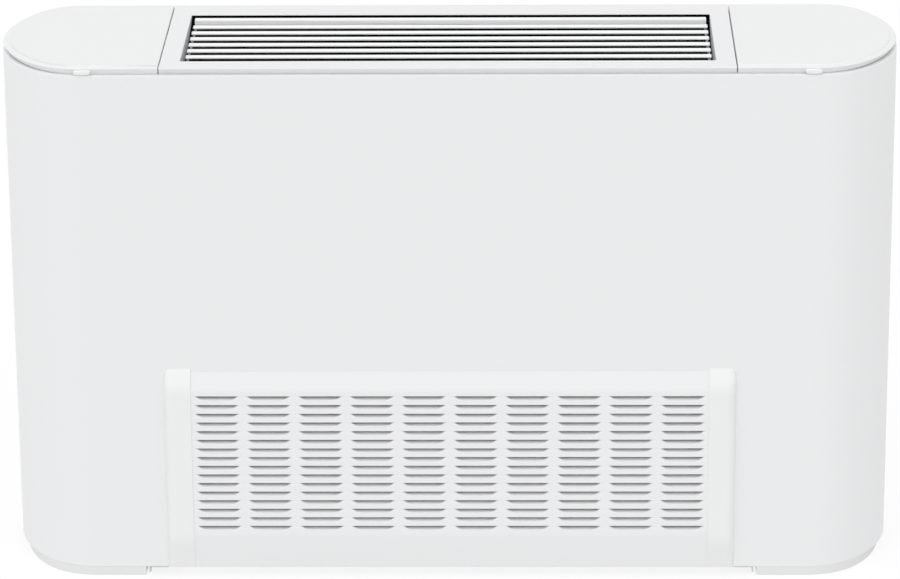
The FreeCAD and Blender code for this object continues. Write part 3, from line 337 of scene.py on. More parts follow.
def add_box(bm, x0, x1, y0, y1, z0, z1):
    """Closed box between two corners."""
    corners = [bm.verts.new((x, y, z)) for x in (x0, x1) for y in (y0, y1) for z in (z0, z1)]
    for face in ((0, 1, 3, 2), (4, 6, 7, 5), (0, 4, 5, 1), (2, 3, 7, 6), (0, 2, 6, 4), (1, 5, 7, 3)):
        bm.faces.new([corners[i] for i in face])


def add_rod(bm, radius, x0, x1, y, z, steps=32):
    """Round bar along X."""
    turns = [2 * math.pi * k / steps for k in range(steps)]
    circle = [(y + radius * math.cos(a), z + radius * math.sin(a)) for a in turns]
    loft(bm, along_x(circle, x0, x1), ends=True)


def along_x(outline, *places):
    """The same (y, z) outline at each place along X."""
    return [[(x, y, z) for y, z in outline] for x in places]


def loft(bm, rows, loop=True, wrap=False, ends=False):
    """Skin equally long rows: loop closes each row, wrap joins the last to the first, ends caps them."""
    made = [[bm.verts.new(point) for point in row] for row in rows]
    pairs = list(zip(made, made[1:]))
    if wrap:
        pairs.append((made[-1], made[0]))
    size = len(made[0])
    for low, high in pairs:
        for i in range(size if loop else size - 1):
            j = (i + 1) % size
            bm.faces.new((low[i], low[j], high[j], high[i]))
    if ends:
        bm.faces.new(made[0][::-1])
        bm.faces.new(made[-1])
    return made


def add_object(name, data):
    """A new object at the origin."""
    made = bpy.data.objects.new(name, data)
    bpy.context.scene.collection.objects.link(made)
    return made


def to_object(name, bm):
    """Turn a bmesh into an object and free it."""
    mesh = bpy.data.meshes.new(name)
    bm.to_mesh(mesh)
    bm.free()
    return add_object(name, mesh)


def shade(target, degrees=SMOOTH_DEGREES):
    """Smooth shading, with edges sharp from an angle up."""
    target.data.shade_smooth()
    target.data.set_sharp_from_angle(angle=math.radians(degrees))


def make_object(name, bm, degrees=SMOOTH_DEGREES):
    """Clean a bmesh, turn its faces outwards and make it an object."""
    merge = 1e-6
    bmesh.ops.remove_doubles(bm, verts=bm.verts, dist=merge)
    bmesh.ops.dissolve_degenerate(bm, dist=merge, edges=bm.edges)
    bmesh.ops.recalc_face_normals(bm, faces=bm.faces)
    made = to_object(name, bm)
    shade(made, degrees)
    return made


def plain(target):
    """Replace the mesh with its evaluated form and drop the modifiers."""
    graph = bpy.context.evaluated_depsgraph_get()
    graph.update()
    mesh = bpy.data.meshes.new_from_object(target.evaluated_get(graph))
    mesh.name = target.name
    target.modifiers.clear()
    target.data = mesh


def apply(target, kind, **values):
    """Add a modifier with the given values and make its result the mesh."""
    step = target.modifiers.new(kind.title(), kind)
    for key, value in values.items():
        setattr(step, key, value)
    plain(target)


def cut_with(target, boxes=(), prisms=()):
    """Boolean difference with boxes, and prisms along Y, that don't touch each other."""
    bm = bmesh.new()
    for corners in boxes:
        add_box(bm, *corners)
    for outline, near, far in prisms:
        loft(bm, [[(x, y, z) for x, z in outline] for y in (near, far)], ends=True)
    cutter = make_object("cutter", bm)
    apply(target, "BOOLEAN", operation="DIFFERENCE", solver="EXACT", object=cutter)
    bpy.data.objects.remove(cutter)
    shade(target)


def soften(target, width, segments=2):
    """Small bevel on the sharp edges, with even normals."""
    apply(target, "BEVEL", width=width, segments=segments, limit_method="ANGLE",
          angle_limit=math.radians(EDGE_DEGREES), harden_normals=True, use_clamp_overlap=True)


def even_normals(target):
    """Normals that follow the large faces, so that flat sheet stays flat beside its bends."""
    apply(target, "WEIGHTED_NORMAL", keep_sharp=True, weight=90)


def thicken(target, depth):
    """Give an open skin its thickness, behind its face."""
    apply(target, "SOLIDIFY", thickness=depth, offset=-1.0)
    shade(target, EDGE_DEGREES)


def mirror_copy(source, name):
    """The same piece on the other side of the middle plane."""
    bm = bmesh.new()
    bm.from_mesh(source.data)
    for vertex in bm.verts:
        vertex.co.x = -vertex.co.x
    bmesh.ops.reverse_faces(bm, faces=bm.faces)
    made = to_object(name, bm)
    shade(made)
    return made


def settle(target, body, slot, *nodes, finish=None):
    """Give a finished piece its material and its body, and hide the CAD nodes it stands for."""
    target.data.materials.clear()
    target.data.materials.append(finish_of(finish or slot))
    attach(target, body)
    if nodes:
        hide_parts(*nodes)


def settle_pair(right, left_name, bodies, slot, nodes, finish=None):
    """Even out a right-hand piece, mirror it, and settle the right one and then the left one."""
    even_normals(right)
    left = mirror_copy(right, left_name)
    even_normals(left)
    for target, body, name in zip((right, left), bodies, nodes):
        settle(target, body, slot, name, finish=finish)


def repeat_tree():
    """Geometry nodes that set copies of a piece out in two directions."""
    tree = bpy.data.node_groups.new("Repeat In Rows", "GeometryNodeTree")
    tree.is_modifier = True
    kinds = {"Piece": "NodeSocketObject", "Start": VECTOR, "Count A": "NodeSocketInt", "Step A": VECTOR,
             "Count B": "NodeSocketInt", "Step B": VECTOR, "Finish": "NodeSocketMaterial"}
    for label, kind in kinds.items():
        tree.interface.new_socket(label, in_out="INPUT", socket_type=kind)
    tree.interface.new_socket("Geometry", in_out="OUTPUT", socket_type="NodeSocketGeometry")
    given = tree.nodes.new("NodeGroupInput").outputs
    first, second = [node(tree, "GeometryNodeMeshLine", {"Count": given["Count " + letter],
                                                         "Offset": given["Step " + letter]}, mode="OFFSET")
                     for letter in ("A", "B")]
    tree.links.new(given["Start"], first.inputs["Start Location"])
    spread = node(tree, "GeometryNodeInstanceOnPoints",
                  {"Points": first.outputs[0], "Instance": second.outputs[0]})
    places = node(tree, "GeometryNodeRealizeInstances", {0: spread.outputs[0]})
    piece = node(tree, "GeometryNodeObjectInfo", {"Object": given["Piece"]})
    copies = node(tree, "GeometryNodeInstanceOnPoints",
                  {"Points": places.outputs[0], "Instance": piece.outputs["Geometry"]})
    real = node(tree, "GeometryNodeRealizeInstances", {0: copies.outputs[0]})
    paint = node(tree, "GeometryNodeSetMaterial",
                 {"Geometry": real.outputs[0], "Material": given["Finish"]})
    node(tree, "NodeGroupOutput", {0: paint.outputs[0]})
    return tree


def repeated(name, piece, finish, start, count_a, step_a, count_b=1, step_b=(0, 0, 0)):
    """Copies of a piece in rows, as one plain mesh. The piece itself is removed."""
    tree = bpy.data.node_groups.get("Repeat In Rows") or repeat_tree()
    made = add_object(name, bpy.data.meshes.new(name))
    step = made.modifiers.new("Rows", "NODES")
    step.node_group = tree
    values = {"Piece": piece, "Start": start, "Count A": count_a, "Step A": step_a, "Count B": count_b,
              "Step B": step_b, "Finish": finish_of(finish)}
    for item in tree.interface.items_tree:
        if item.item_type == "SOCKET" and item.in_out == "INPUT":
            step[item.identifier] = values[item.name]
    plain(made)
    if not made.data.polygons:
        raise RuntimeError(name + " came out empty")
    bpy.data.objects.remove(piece)
    return made


# Casing outline


@functools.cache
def casing_box():
    """Half width, front, back and middle of the casing, from the panel's CAD box."""
    low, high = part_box("front_panel")
    return high.x, low.y, high.y, (low.y + high.y) / 2


def arc(centre, radius, start, stop, steps):
    """Points from one angle to another."""
    turns = [start + (stop - start) * k / steps for k in range(steps + 1)]
    return [(centre[0] + radius * math.cos(a), centre[1] + radius * math.sin(a)) for a in turns]


def end_path(inset):
    """Right-hand rounded end of the casing outline, from front to back, drawn in by inset."""
    casing = settings()[0]
    half, front, back, middle = casing_box()
    depth = (back - front) / 2
    bend_steps, sweep_steps = 16, 20
    halves = []
    for side, reach, factor in ((-1, casing.front_reach, casing.front_share),
                                (1, casing.rear_reach, casing.rear_share)):
        end = depth * factor
        corner = (end**2 - (end - reach)**2 - depth**2) / (2 * (end - depth))
        turn = side * math.atan2(depth - corner, end - reach)
        centre = (half - reach, middle + side * (depth - corner))
        bend = arc(centre, corner - inset, side * math.pi / 2, turn, bend_steps)
        sweep = arc((half - end, middle), end - inset, turn, 0.0, sweep_steps)
        halves.append(bend + sweep[1:])
    return halves[0] + halves[1][-2::-1]


def end_loop(start, inset, side_inset, z):
    """Closed loop round the right-hand end beyond x = start."""
    front, back = casing_box()[1:3]
    edge = start + side_inset
    points = [(edge, front + inset), *end_path(inset), (edge, back - inset)]
    return [(x, y, z) for x, y in points]


def end_share(x):
    """How far x lies along the rounded end's front reach: 0 up to its start, 1 at the tip."""
    reach = settings()[0].front_reach
    return max(0.0, (x - casing_box()[0] + reach) / reach)


def ring(x, front, back, z):
    """Rectangle across the middle of the unit."""
    return [(-x, front, z), (x, front, z), (x, back, z), (-x, back, z)]


def quarter(radius, steps):
    """Runs in and up along a quarter round, from the wall to the top."""
    turns = [math.pi / 2 * k / steps for k in range(steps + 1)]
    return [(radius * (1 - math.cos(a)), radius * math.sin(a)) for a in turns]


def ease(value):
    """Smooth step from 0 to 1."""
    value = min(max(value, 0.0), 1.0)
    return value * value * (3 - 2 * value)


def bent(points, radii, steps=4):
    """Round the inner corners of an open run of (y, z) points, each with its own radius."""
    made = [points[0]]
    for before, here, after, radius in zip(points, points[1:], points[2:], radii):
        here, before, after = Vector(here), Vector(before), Vector(after)
        reach = min(radius, (before - here).length / 2, (after - here).length / 2)
        start = here + (before - here).normalized() * reach
        stop = here + (after - here).normalized() * reach
        for k in range(steps + 1):
            t = k / steps
            made.append(tuple(start * (1 - t)**2 + here * 2 * t * (1 - t) + stop * t**2))
    return made + [points[-1]]


def cover_profile(top, bottom):
    """Inset and height along the cover's edge: leaning rim, its rounded top, low band and step."""
    casing = settings()[0]
    start, level = casing.cover_inset, top - casing.shoulder_drop
    profile = [(start + casing.rim_set_back, bottom)]
    profile += [(start + run, level - casing.rim_round + up) for run, up in quarter(casing.rim_round, 4)]
    profile += [(start + casing.shoulder - casing.shoulder_drop / 2, level), (start + casing.shoulder, top)]
    return profile


# Pieces


class FANCOIL_OT_finishes(bpy.types.Operator):
    """Make the procedural finishes and give one to every carried CAD node"""
    bl_idname = "fan_coil.finishes"
    bl_label = "Finishes"

    def execute(self, context):
        finishes = make_finishes()
        slots = {part["node"]: part["material_slot"] for part in frame["record"]["subparts"]}
        for name, target in frame["nodes"].items():
            target.data.materials.clear()
            target.data.materials.append(finishes[slots[name]])
        return {"FINISHED"}


class FANCOIL_OT_front_panel(bpy.types.Operator):
    """Build the painted sheet that wraps the front and both rounded ends"""
    bl_idname = "fan_coil.front_panel"
    bl_label = "Front Panel"

    def execute(self, context):
        panel = self.wrap()
        self.cut_door(panel)
        self.cut_lid_room(panel)
        even_normals(panel)
        settle(panel, "cabinet", "casing_white", "front_panel")
        return {"FINISHED"}

    def wrap(self):
        """The whole sheet with its top flange, before anything is cut out."""
        casing = settings()[0]
        low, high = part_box("front_panel")
        sheet, radius, foot = casing.sheet, casing.edge_radius, low.z + casing.skirt_rise
        profile = [(0.0, foot)]
        profile += [(inset, high.z - radius + up) for inset, up in quarter(radius, 5)]
        profile += [(casing.flange, high.z), (casing.flange, high.z - sheet)]
        profile += [(sheet, high.z - sheet), (sheet, foot)]
        tail = high.x - casing.rear_reach - casing.rear_return
        rows = []
        for inset, z in profile:
            right = end_path(inset) + [(tail, high.y - inset)]
            path = [(-x, y) for x, y in right[::-1]] + right
            rows.append([(x, y, z) for x, y in path])
        bm = bmesh.new()
        made = loft(bm, rows, loop=False, wrap=True)
        for index in (0, -1):
            bm.faces.new([row[index] for row in made])
        return make_object("front_panel_sheet", bm)

    def cut_door(self, panel):
        """The opening for the louvred sheet and its end caps, with rounded upper corners."""
        casing = settings()[0]
        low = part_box("front_panel")[0]
        cap_high, sheet_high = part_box("grille_end_cap_right")[1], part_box("intake_grille")[1]
        front, middle, bottom = low.y - OVERRUN, casing_box()[3], low.z - OVERRUN
        gap, hinge_room, overlap = casing.door_gap, 8 * MM, 1 * MM
        top = cap_high.z - casing.door_drop - casing.cap_lap
        corner = casing.cap_corner - casing.cap_lap
        level, door = top - corner, cap_high.x - casing.cap_lap
        hinge_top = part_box("grille_hinge_pins")[1].z + hinge_room
        sheet_top = sheet_high.z - casing.door_drop + gap
        for half, height in ((cap_high.x + gap, hinge_top), (door, level), (sheet_high.x, sheet_top)):
            cut_with(panel, [(-half, half, front, middle, bottom, height)])
        inner, below = sheet_high.x - gap, level - overlap
        rounded = [(door - run, level + up) for run, up in quarter(corner, 12)]
        outline = [(inner, below), (door, below), *rounded, (inner, top)]
        cut_with(panel, prisms=[([(side * x, z) for x, z in outline], front, middle) for side in (-1, 1)])

    def cut_lid_room(self, panel):
        """Clear the top of the sheet at the rear, where the lids swing."""
        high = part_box("front_panel")[1]
        swing, margin = 8.5 * MM, 2 * MM
        side, back = high.x + OVERRUN, high.y - settings()[0].flange - margin
        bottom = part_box("lid_left")[0].z - swing
        cut_with(panel, [(-side, side, back, high.y + OVERRUN, bottom, high.z + OVERRUN)])


class FANCOIL_OT_lids(bpy.types.Operator):
    """Build the two hinged end lids with their finger tabs, pads and knuckles"""
    bl_idname = "fan_coil.lids"
    bl_label = "Lids"

    def execute(self, context):
        casing = settings()[0]
        low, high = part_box("lid_right")
        wall, under = casing.cover_wall, high.z - casing.cover_wall
        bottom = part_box("front_panel")[1].z + casing.rim_gap
        profile = cover_profile(high.z, bottom)
        inner = profile[0][0] + wall
        rows = [end_loop(low.x, inner, wall, z) for z in (under, bottom)]
        rows += [end_loop(low.x, inset, 0.0, z) for inset, z in profile[:-1]]
        rows.append(end_loop(low.x, profile[-1][0], casing.split_edge, high.z))
        rows[1:3] = [[(x, y, z + casing.rim_lift * ease(end_share(x))) for x, y, z in row]
                     for row in rows[1:3]]
        bm = bmesh.new()
        loft(bm, rows, ends=True)
        self.add_tab(bm, bottom)
        self.add_hinge(bm, under)
        settle_pair(make_object("lid_cover_right", bm), "lid_cover_left", ("right_lid", "left_lid"),
                    "white_plastic", ("lid_right", "lid_left"))
        return {"FINISHED"}

    def add_tab(self, bm, bottom):
        """Soft finger tab on the rim: a rounded bar that stands a little proud."""
        casing = settings()[0]
        front = casing_box()[1]
        middle = bottom + casing.tab_height / 2
        rows = [self.bar(middle, 0.0, front + casing.cover_inset + casing.rim_set_back)]
        rows += [self.bar(middle, inset, front - out) for inset, out in quarter(casing.tab_proud, 5)]
        loft(bm, rows, ends=True)

    def bar(self, middle, inset, y):
        """Outline of the tab at depth y, drawn in by inset: an oval with squared-off ends."""
        casing = settings()[0]
        steps, squareness = 40, 0.55
        wide, tall = casing.tab_width / 2 - inset, casing.tab_height / 2 - inset
        points = []
        for c, s in arc((0.0, 0.0), 1.0, 0.0, 2 * math.pi, steps)[:-1]:
            x = casing.tab_place + wide * math.copysign(abs(c)**squareness, c)
            points.append((x, y, middle + tall * math.copysign(abs(s)**squareness, s)))
        return points

    def add_hinge(self, bm, under):
        """Hinge knuckles at the back and rest pads at the front, sunk a little into the lid."""
        pin_low, pin_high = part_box("lid_pin_right")
        panel_low, panel_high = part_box("front_panel")
        y, z = (pin_low.y + pin_high.y) / 2, (pin_low.z + pin_high.z) / 2
        barrel, width, ear, sink = 3.0 * MM, 11.5 * MM, 4.0 * MM, 0.2 * MM
        pad_width, pad_inset, pad_depth = 8 * MM, 6.5 * MM, 3 * MM
        top, near = under + sink, pin_low.x + ear
        for x in (near, pin_high.x - ear - width):
            add_rod(bm, barrel, x, x + width, y, z)
            add_box(bm, x, x + width, y - barrel, y + barrel, z, top)
        front = panel_low.y + pad_inset
        for x in (near, panel_high.x - settings()[0].front_reach):
            add_box(bm, x, x + pad_width, front, front + pad_depth, panel_high.z, top)


class FANCOIL_OT_top_frame(bpy.types.Operator):
    """Build the fixed middle of the top, with its folded outlet opening"""
    bl_idname = "fan_coil.top_frame"
    bl_label = "Top Frame"

    def execute(self, context):
        casing = settings()[0]
        low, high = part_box("top_frame")
        insert_low, insert_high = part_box("outlet_insert_frame")
        wall, top = casing.cover_wall, high.z
        under, bottom = top - wall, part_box("front_panel")[1].z + casing.rim_gap
        side_room, front_room, rear_room = 3.6 * MM, 2 * MM, 6.8 * MM
        half, near, far = insert_high.x + side_room, insert_low.y - front_room, insert_high.y + rear_room
        fold, bend, end, straight, taper = 1.5 * MM, 0.7 * MM, 0.6 * MM, 0.2 * MM, 8 * MM
        profile = cover_profile(top, bottom)
        front, back = low.y - casing.cover_inset, high.y + casing.cover_inset
        inner, inset = profile[0][0] + wall, profile[-1][0]
        rows = [ring(high.x - end, front + inner, back - inner, z) for z in (under, bottom)]
        rows += [ring(high.x, front + run, back - run, z) for run, z in profile[:-1]]
        rows.append(ring(high.x - casing.split_edge, front + inset, back - inset, top))
        rows += [ring(half + run, near - run, far + run, top - bend + up)
                 for run, up in quarter(bend, 4)[::-1]]
        lip = top - bend - straight
        rows += [ring(half, near, far, lip), ring(half + fold, near - fold, far + taper, under)]
        bm = bmesh.new()
        loft(bm, rows, wrap=True)
        made = make_object("top_frame_cover", bm)
        even_normals(made)
        settle(made, "cabinet", "casing_white", "top_frame")
        # A grey sheet paints the shade on the walls inside the outlet opening
        self.make_shade_liner((half, near, far), lip, under, low.z, fold)
        return {"FINISHED"}

    def make_shade_liner(self, hole, lip, under, foot, fold):
        """Grey fold below the hole's front and side edges, tapered off towards the rear corners; its grey is
        painted shade inside the white opening.
        """
        half, front, rear = hole
        knee, lean, tip, tip_lean = (front + rear) / 2, 1.4 * MM, 1 * MM, 0.2 * MM
        right = []
        for y, turn, bottom, inward in ((front, 1.0, foot, lean), (knee, 0.0, foot, lean),
                                        (rear, 0.0, lip - tip, tip_lean)):
            section = [(0.0, lip), (-inward, bottom), (fold, bottom), (fold, under)]
            right.append([(half + out, y - turn * out, z) for out, z in section])
        left = [[(-x, y, z) for x, y, z in row] for row in right[::-1]]
        bm = bmesh.new()
        loft(bm, left + right, ends=True)
        # The grey finish is painted shade: this fold is part of the white top
        settle(make_object("outlet_fold", bm), "cabinet", "grey_plastic")


class FANCOIL_OT_skirts(bpy.types.Operator):
    """Build the two low skirts under the rounded ends"""
    bl_idname = "fan_coil.skirts"
    bl_label = "Skirts"

    def execute(self, context):
        casing = settings()[0]
        low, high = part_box("bottom_cap_right")
        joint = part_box("front_panel")[0].z + casing.skirt_rise
        wall, foot, edge = 2.5 * MM, 0.8 * MM, 0.3 * MM
        rib = casing.sheet + casing.skirt_fit
        inner = rib + wall
        profile = [(run, low.z + foot - up) for run, up in quarter(foot, 3)[::-1]]
        profile += [(0.0, joint - edge), (edge, joint), (rib, joint), (rib, high.z), (inner, high.z)]
        profile.append((inner, low.z + wall))
        bm = bmesh.new()
        loft(bm, [self.tuck(end_loop(low.x, inset, inset, z)) for inset, z in profile], ends=True)
        # The skirts take the darker white, painted shade
        settle_pair(make_object("skirt_right", bm), "skirt_left", ("cabinet", "cabinet"), "white_plastic",
                    ("bottom_cap_right", "bottom_cap_left"), finish="skirt_white")
        return {"FINISHED"}

    def tuck(self, loop):
        """Draw a loop in under the panel, little at first and most at its tip."""
        amount, power = settings()[0].skirt_tuck, 4
        return [(x - amount * end_share(x)**power, y, z) for x, y, z in loop]


class FANCOIL_OT_intake_grille(bpy.types.Operator):
    """Build the louvred intake sheet: bent edges round a field of pressed louvres"""
    bl_idname = "fan_coil.intake_grille"
    bl_label = "Intake Grille"

    def execute(self, context):
        casing, grille = settings()[:2]
        low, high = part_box("intake_grille")
        front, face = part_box("front_panel")[0].y, low.y
        upper, lower = high.z - grille.upper_slope, low.z + grille.lower_slope
        middle, field = (upper + lower) / 2, grille.rows * grille.row_pitch / 2
        rim = high.z - casing.door_drop
        sheet, pressed, fold, edge = 1.2 * MM, 0.9 * MM, 2.2 * MM, 0.25 * MM
        toe, heel, crease, backwards = 1 * MM, 2 * MM, 50.0, 0.02
        top = [(high.y, rim), (front, rim), (face, upper), (face, middle + field)]
        foot = [(face, middle - field), (face, lower), (front - toe, low.z), (front + heel, low.z)]
        bm = bmesh.new()
        for run in (bent(top, (edge, fold)), bent(foot, (fold, fold))):
            loft(bm, along_x(run, low.x, high.x), loop=False)
        borders = make_object("grille_borders", bm, crease)
        for polygon in borders.data.polygons:
            if polygon.normal.y > backwards:
                polygon.flip()
        thicken(borders, sheet)
        pitch = (high.x - low.x) / grille.columns
        louvre = self.louvre(pitch, face)
        thicken(louvre, pressed)
        start = (low.x + pitch / 2, 0.0, middle - (grille.rows - 1) * grille.row_pitch / 2)
        louvres = repeated("intake_louvres", louvre, "casing_white", start, grille.columns, (pitch, 0, 0),
                           grille.rows, (0, 0, grille.row_pitch))
        settle(louvres, "intake_door", "casing_white")
        settle(borders, "intake_door", "casing_white", "intake_grille")
        return {"FINISHED"}

    def louvre(self, pitch, face):
        """One tile of sheet with a pocket pressed in below a straight slit."""
        grille = settings()[1]
        half_pitch, half_row, slit = pitch / 2, grille.row_pitch / 2, grille.pocket / 2
        rise, cheek_share, curve = grille.pocket - grille.gap, 0.28, 1.15
        across_shares = (-1.0, -0.93, -0.86, -0.8, -0.7, -0.35, 0.0, 0.35, 0.7, 0.8, 0.86, 0.93, 1.0)
        up_shares = (0.0, 0.12, 0.28, 0.5, 0.75, 1.0)

        def tile_row(points, z):
            return [(-half_pitch, face, z), *points, (half_pitch, face, z)]

        def flat_row(width, z):
            return tile_row([(s * width / 2, face, z) for s in across_shares], z)

        rows = [flat_row(grille.foot, -half_row)]
        for t in up_shares:
            width = (grille.foot + (grille.mouth - grille.foot) * t) / 2
            points = []
            for s in across_shares:
                open_share = ease((1 - abs(s)) / cheek_share)
                push = grille.depth * t**curve * open_share
                height = -slit + (rise * open_share + grille.pocket * (1 - open_share)) * t
                points.append((s * width, face + push, height))
            rows.append(tile_row(points, -slit + grille.pocket * t))
        bm = bmesh.new()
        loft(bm, rows, loop=False)
        loft(bm, [flat_row(grille.mouth, z) for z in (slit, half_row)], loop=False)
        bm.normal_update()
        for polygon in bm.faces:
            if polygon.normal.y > 0:
                polygon.normal_flip()
        made = to_object("louvre", bm)
        made.data.shade_smooth()
        return made


class FANCOIL_OT_end_caps(bpy.types.Operator):
    """Build the moulded end caps beside the louvred sheet"""
    bl_idname = "fan_coil.end_caps"
    bl_label = "Grille End Caps"

    def execute(self, context):
        casing, grille = settings()[:2]
        low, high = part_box("grille_end_cap_right")
        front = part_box("front_panel")[0].y
        seat, toe, bend, fade, crease = 0.02 * MM, 1 * MM, 6 * MM, 20 * MM, 35.0
        back, top = front - seat, high.z - casing.door_drop
        corners = [(back, top), (low.y, high.z - grille.upper_slope), (low.y, casing.cap_knee),
                   (front - toe, low.z), (back, low.z)]
        outline = bent(corners, (bend, bend, bend), 8)
        rows = []
        for x, rise, drop in self.stations(low.x, high.x):
            rows.append([(x, back + (y - back) * rise, z - drop * min(max(1 - (top - z) / fade, 0.0), 1.0))
                         for y, z in outline])
        bm = bmesh.new()
        loft(bm, rows, ends=True)
        right = make_object("grille_cap_right", bm, crease)
        self.add_fittings(right, low.x, back)
        shade(right, crease)
        settle_pair(right, "grille_cap_left", ("intake_door", "intake_door"), "white_plastic",
                    ("grille_end_cap_right", "grille_end_cap_left"))
        return {"FINISHED"}

    def add_fittings(self, cap, inner, back):
        """Flange that reaches the filter guide, and the lug on the hinge pin."""
        web, web_low, web_high, web_lap = 2 * MM, 25 * MM, 191 * MM, 1 * MM
        lug_inset, lug_width, lug_half, lug_lap = 3.6 * MM, 6 * MM, 4 * MM, 0.5 * MM
        guide_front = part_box("filter_guide_right")[0].y
        pin_low, pin_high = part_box("grille_hinge_pins")
        y, z = (pin_low.y + pin_high.y) / 2, (pin_low.z + pin_high.z) / 2
        near, far = inner + lug_inset, inner + lug_inset + lug_width
        bm = bmesh.new()
        add_box(bm, inner, inner + web, back - web_lap, guide_front, web_low, web_high)
        add_box(bm, near, far, back - lug_lap, y, z - lug_half, z + lug_half)
        add_rod(bm, lug_half, near, far, y, z)
        bm.from_mesh(cap.data)
        bm.to_mesh(cap.data)
        bm.free()

    def stations(self, inner, outer):
        """Places across the cap, each with its share of the full height and the drop of its upper corner."""
        corner = settings()[0].cap_corner
        small, wide, inner_share, outer_share = 0.8 * MM, 7.0 * MM, 0.92, 0.02
        places = [(inner + run, inner_share + (1 - inner_share) * up / small, 0.0)
                  for run, up in quarter(small, 3)]
        for run, up in quarter(wide, 14)[::-1]:
            past = max(corner - run, 0.0)
            rise = outer_share + (1 - outer_share) * up / wide
            places.append((outer - run, rise, corner - math.sqrt(corner**2 - past**2)))
        return places


class FANCOIL_OT_outlet_grille(bpy.types.Operator):
    """Build the drop-in outlet grille: its frame and the row of slats"""
    bl_idname = "fan_coil.outlet_grille"
    bl_label = "Outlet Grille"

    def execute(self, context):
        grille = settings()[1]
        low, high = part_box("outlet_insert_frame")
        slat_low, slat_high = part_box("outlet_slats")
        wall, rail, shelf_rise, seat_lap, edge = 2 * MM, 8 * MM, 1 * MM, 0.1 * MM, 0.3 * MM
        post_near, post_far = 1.5 * MM, 3.2 * MM
        chord, thick, slat_edge = 7 * MM, 1.3 * MM, 0.35 * MM
        shelf, seat = low.z + shelf_rise, slat_low.z + seat_lap
        first = slat_high.y - chord / 2 - grille.slat_pitch * (grille.slats - 1)
        bm = bmesh.new()
        add_box(bm, low.x, high.x, high.y - rail, high.y, low.z, high.z)
        add_box(bm, low.x, high.x, low.y, low.y + wall, low.z, shelf)
        for side in (-1, 1):
            x0, x1 = sorted((side * (high.x - wall), side * high.x))
            add_box(bm, x0, x1, low.y + wall, high.y - rail, low.z, shelf)
            for k in range(grille.slats):
                y = first + grille.slat_pitch * k
                add_box(bm, x0, x1, y + post_near, y + post_far, shelf, seat)
        holder = make_object("outlet_frame", bm)
        soften(holder, edge)
        # The frame takes the lighter white, a painted highlight
        settle(holder, "outlet_grille", "white_plastic", "outlet_insert_frame", finish="outlet_white")
        top, rise, reach = slat_high.z, slat_high.z - slat_low.z - thick, high.x + grille.slat_over
        outline = [(-chord / 2, top - rise), (chord / 2, top), (chord / 2, top - thick),
                   (-chord / 2, top - rise - thick)]
        bm = bmesh.new()
        loft(bm, along_x(outline, -reach, reach), ends=True)
        slat = make_object("slat", bm)
        soften(slat, slat_edge, 3)
        # The slats take the lighter white, a painted highlight
        slats = repeated("outlet_slat_row", slat, "outlet_white", (0, first, 0), grille.slats,
                         (0, grille.slat_pitch, 0))
        settle(slats, "outlet_grille", "white_plastic", "outlet_slats", finish="outlet_white")
        return {"FINISHED"}


class FANCOIL_OT_coil_fins(bpy.types.Operator):
    """Build the coil's separate aluminium fins in place of the solid slab"""
    bl_idname = "fan_coil.coil_fins"
    bl_label = "Coil Fins"

    def execute(self, context):
        grille = settings()[1]
        low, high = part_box("coil_fins")
        size, centre, half = high - low, (low + high) / 2, grille.fin_sheet / 2
        sine, cosine = math.sin(grille.coil_slant), math.cos(grille.coil_slant)
        spread = cosine**2 - sine**2
        along = Vector((0, sine, cosine)) * (size.z * cosine - size.y * sine) / spread / 2
        across = Vector((0, cosine, -sine)) * (size.y * cosine - size.z * sine) / spread / 2
        corners = [centre - along - across, centre - along + across, centre + along + across,
                   centre + along - across]
        bm = bmesh.new()
        loft(bm, along_x([(corner.y, corner.z) for corner in corners], -half, half), ends=True)
        fin = make_object("fin", bm)
        fin_count = int(size.x / grille.fin_pitch)
        pitch = (size.x - grille.fin_sheet) / (fin_count - 1)
        fins = repeated("coil_fin_pack", fin, "bare_aluminium", (low.x + half, 0, 0), fin_count,
                        (pitch, 0, 0))
        settle(fins, "cabinet", "bare_aluminium", "coil_fins")
        return {"FINISHED"}


# Stage


def white_rays(tree):
    """1 for the rays that see a white backdrop: camera, glossy and transmission rays."""
    path = tree.nodes.new("ShaderNodeLightPath")
    seen = path.outputs["Is Camera Ray"]
    for label in ("Is Glossy Ray", "Is Transmission Ray"):
        seen = math_node(tree, "MAXIMUM", seen, path.outputs[label])
    return seen


def backdrop(tree, lit, seen, output):
    """Send one shader to the rays that light the object, and another to those that see the backdrop."""
    mix = node(tree, "ShaderNodeMixShader", {0: white_rays(tree), 1: lit.outputs[0], 2: seen.outputs[0]})
    node(tree, output, {"Surface": mix.outputs[0]})


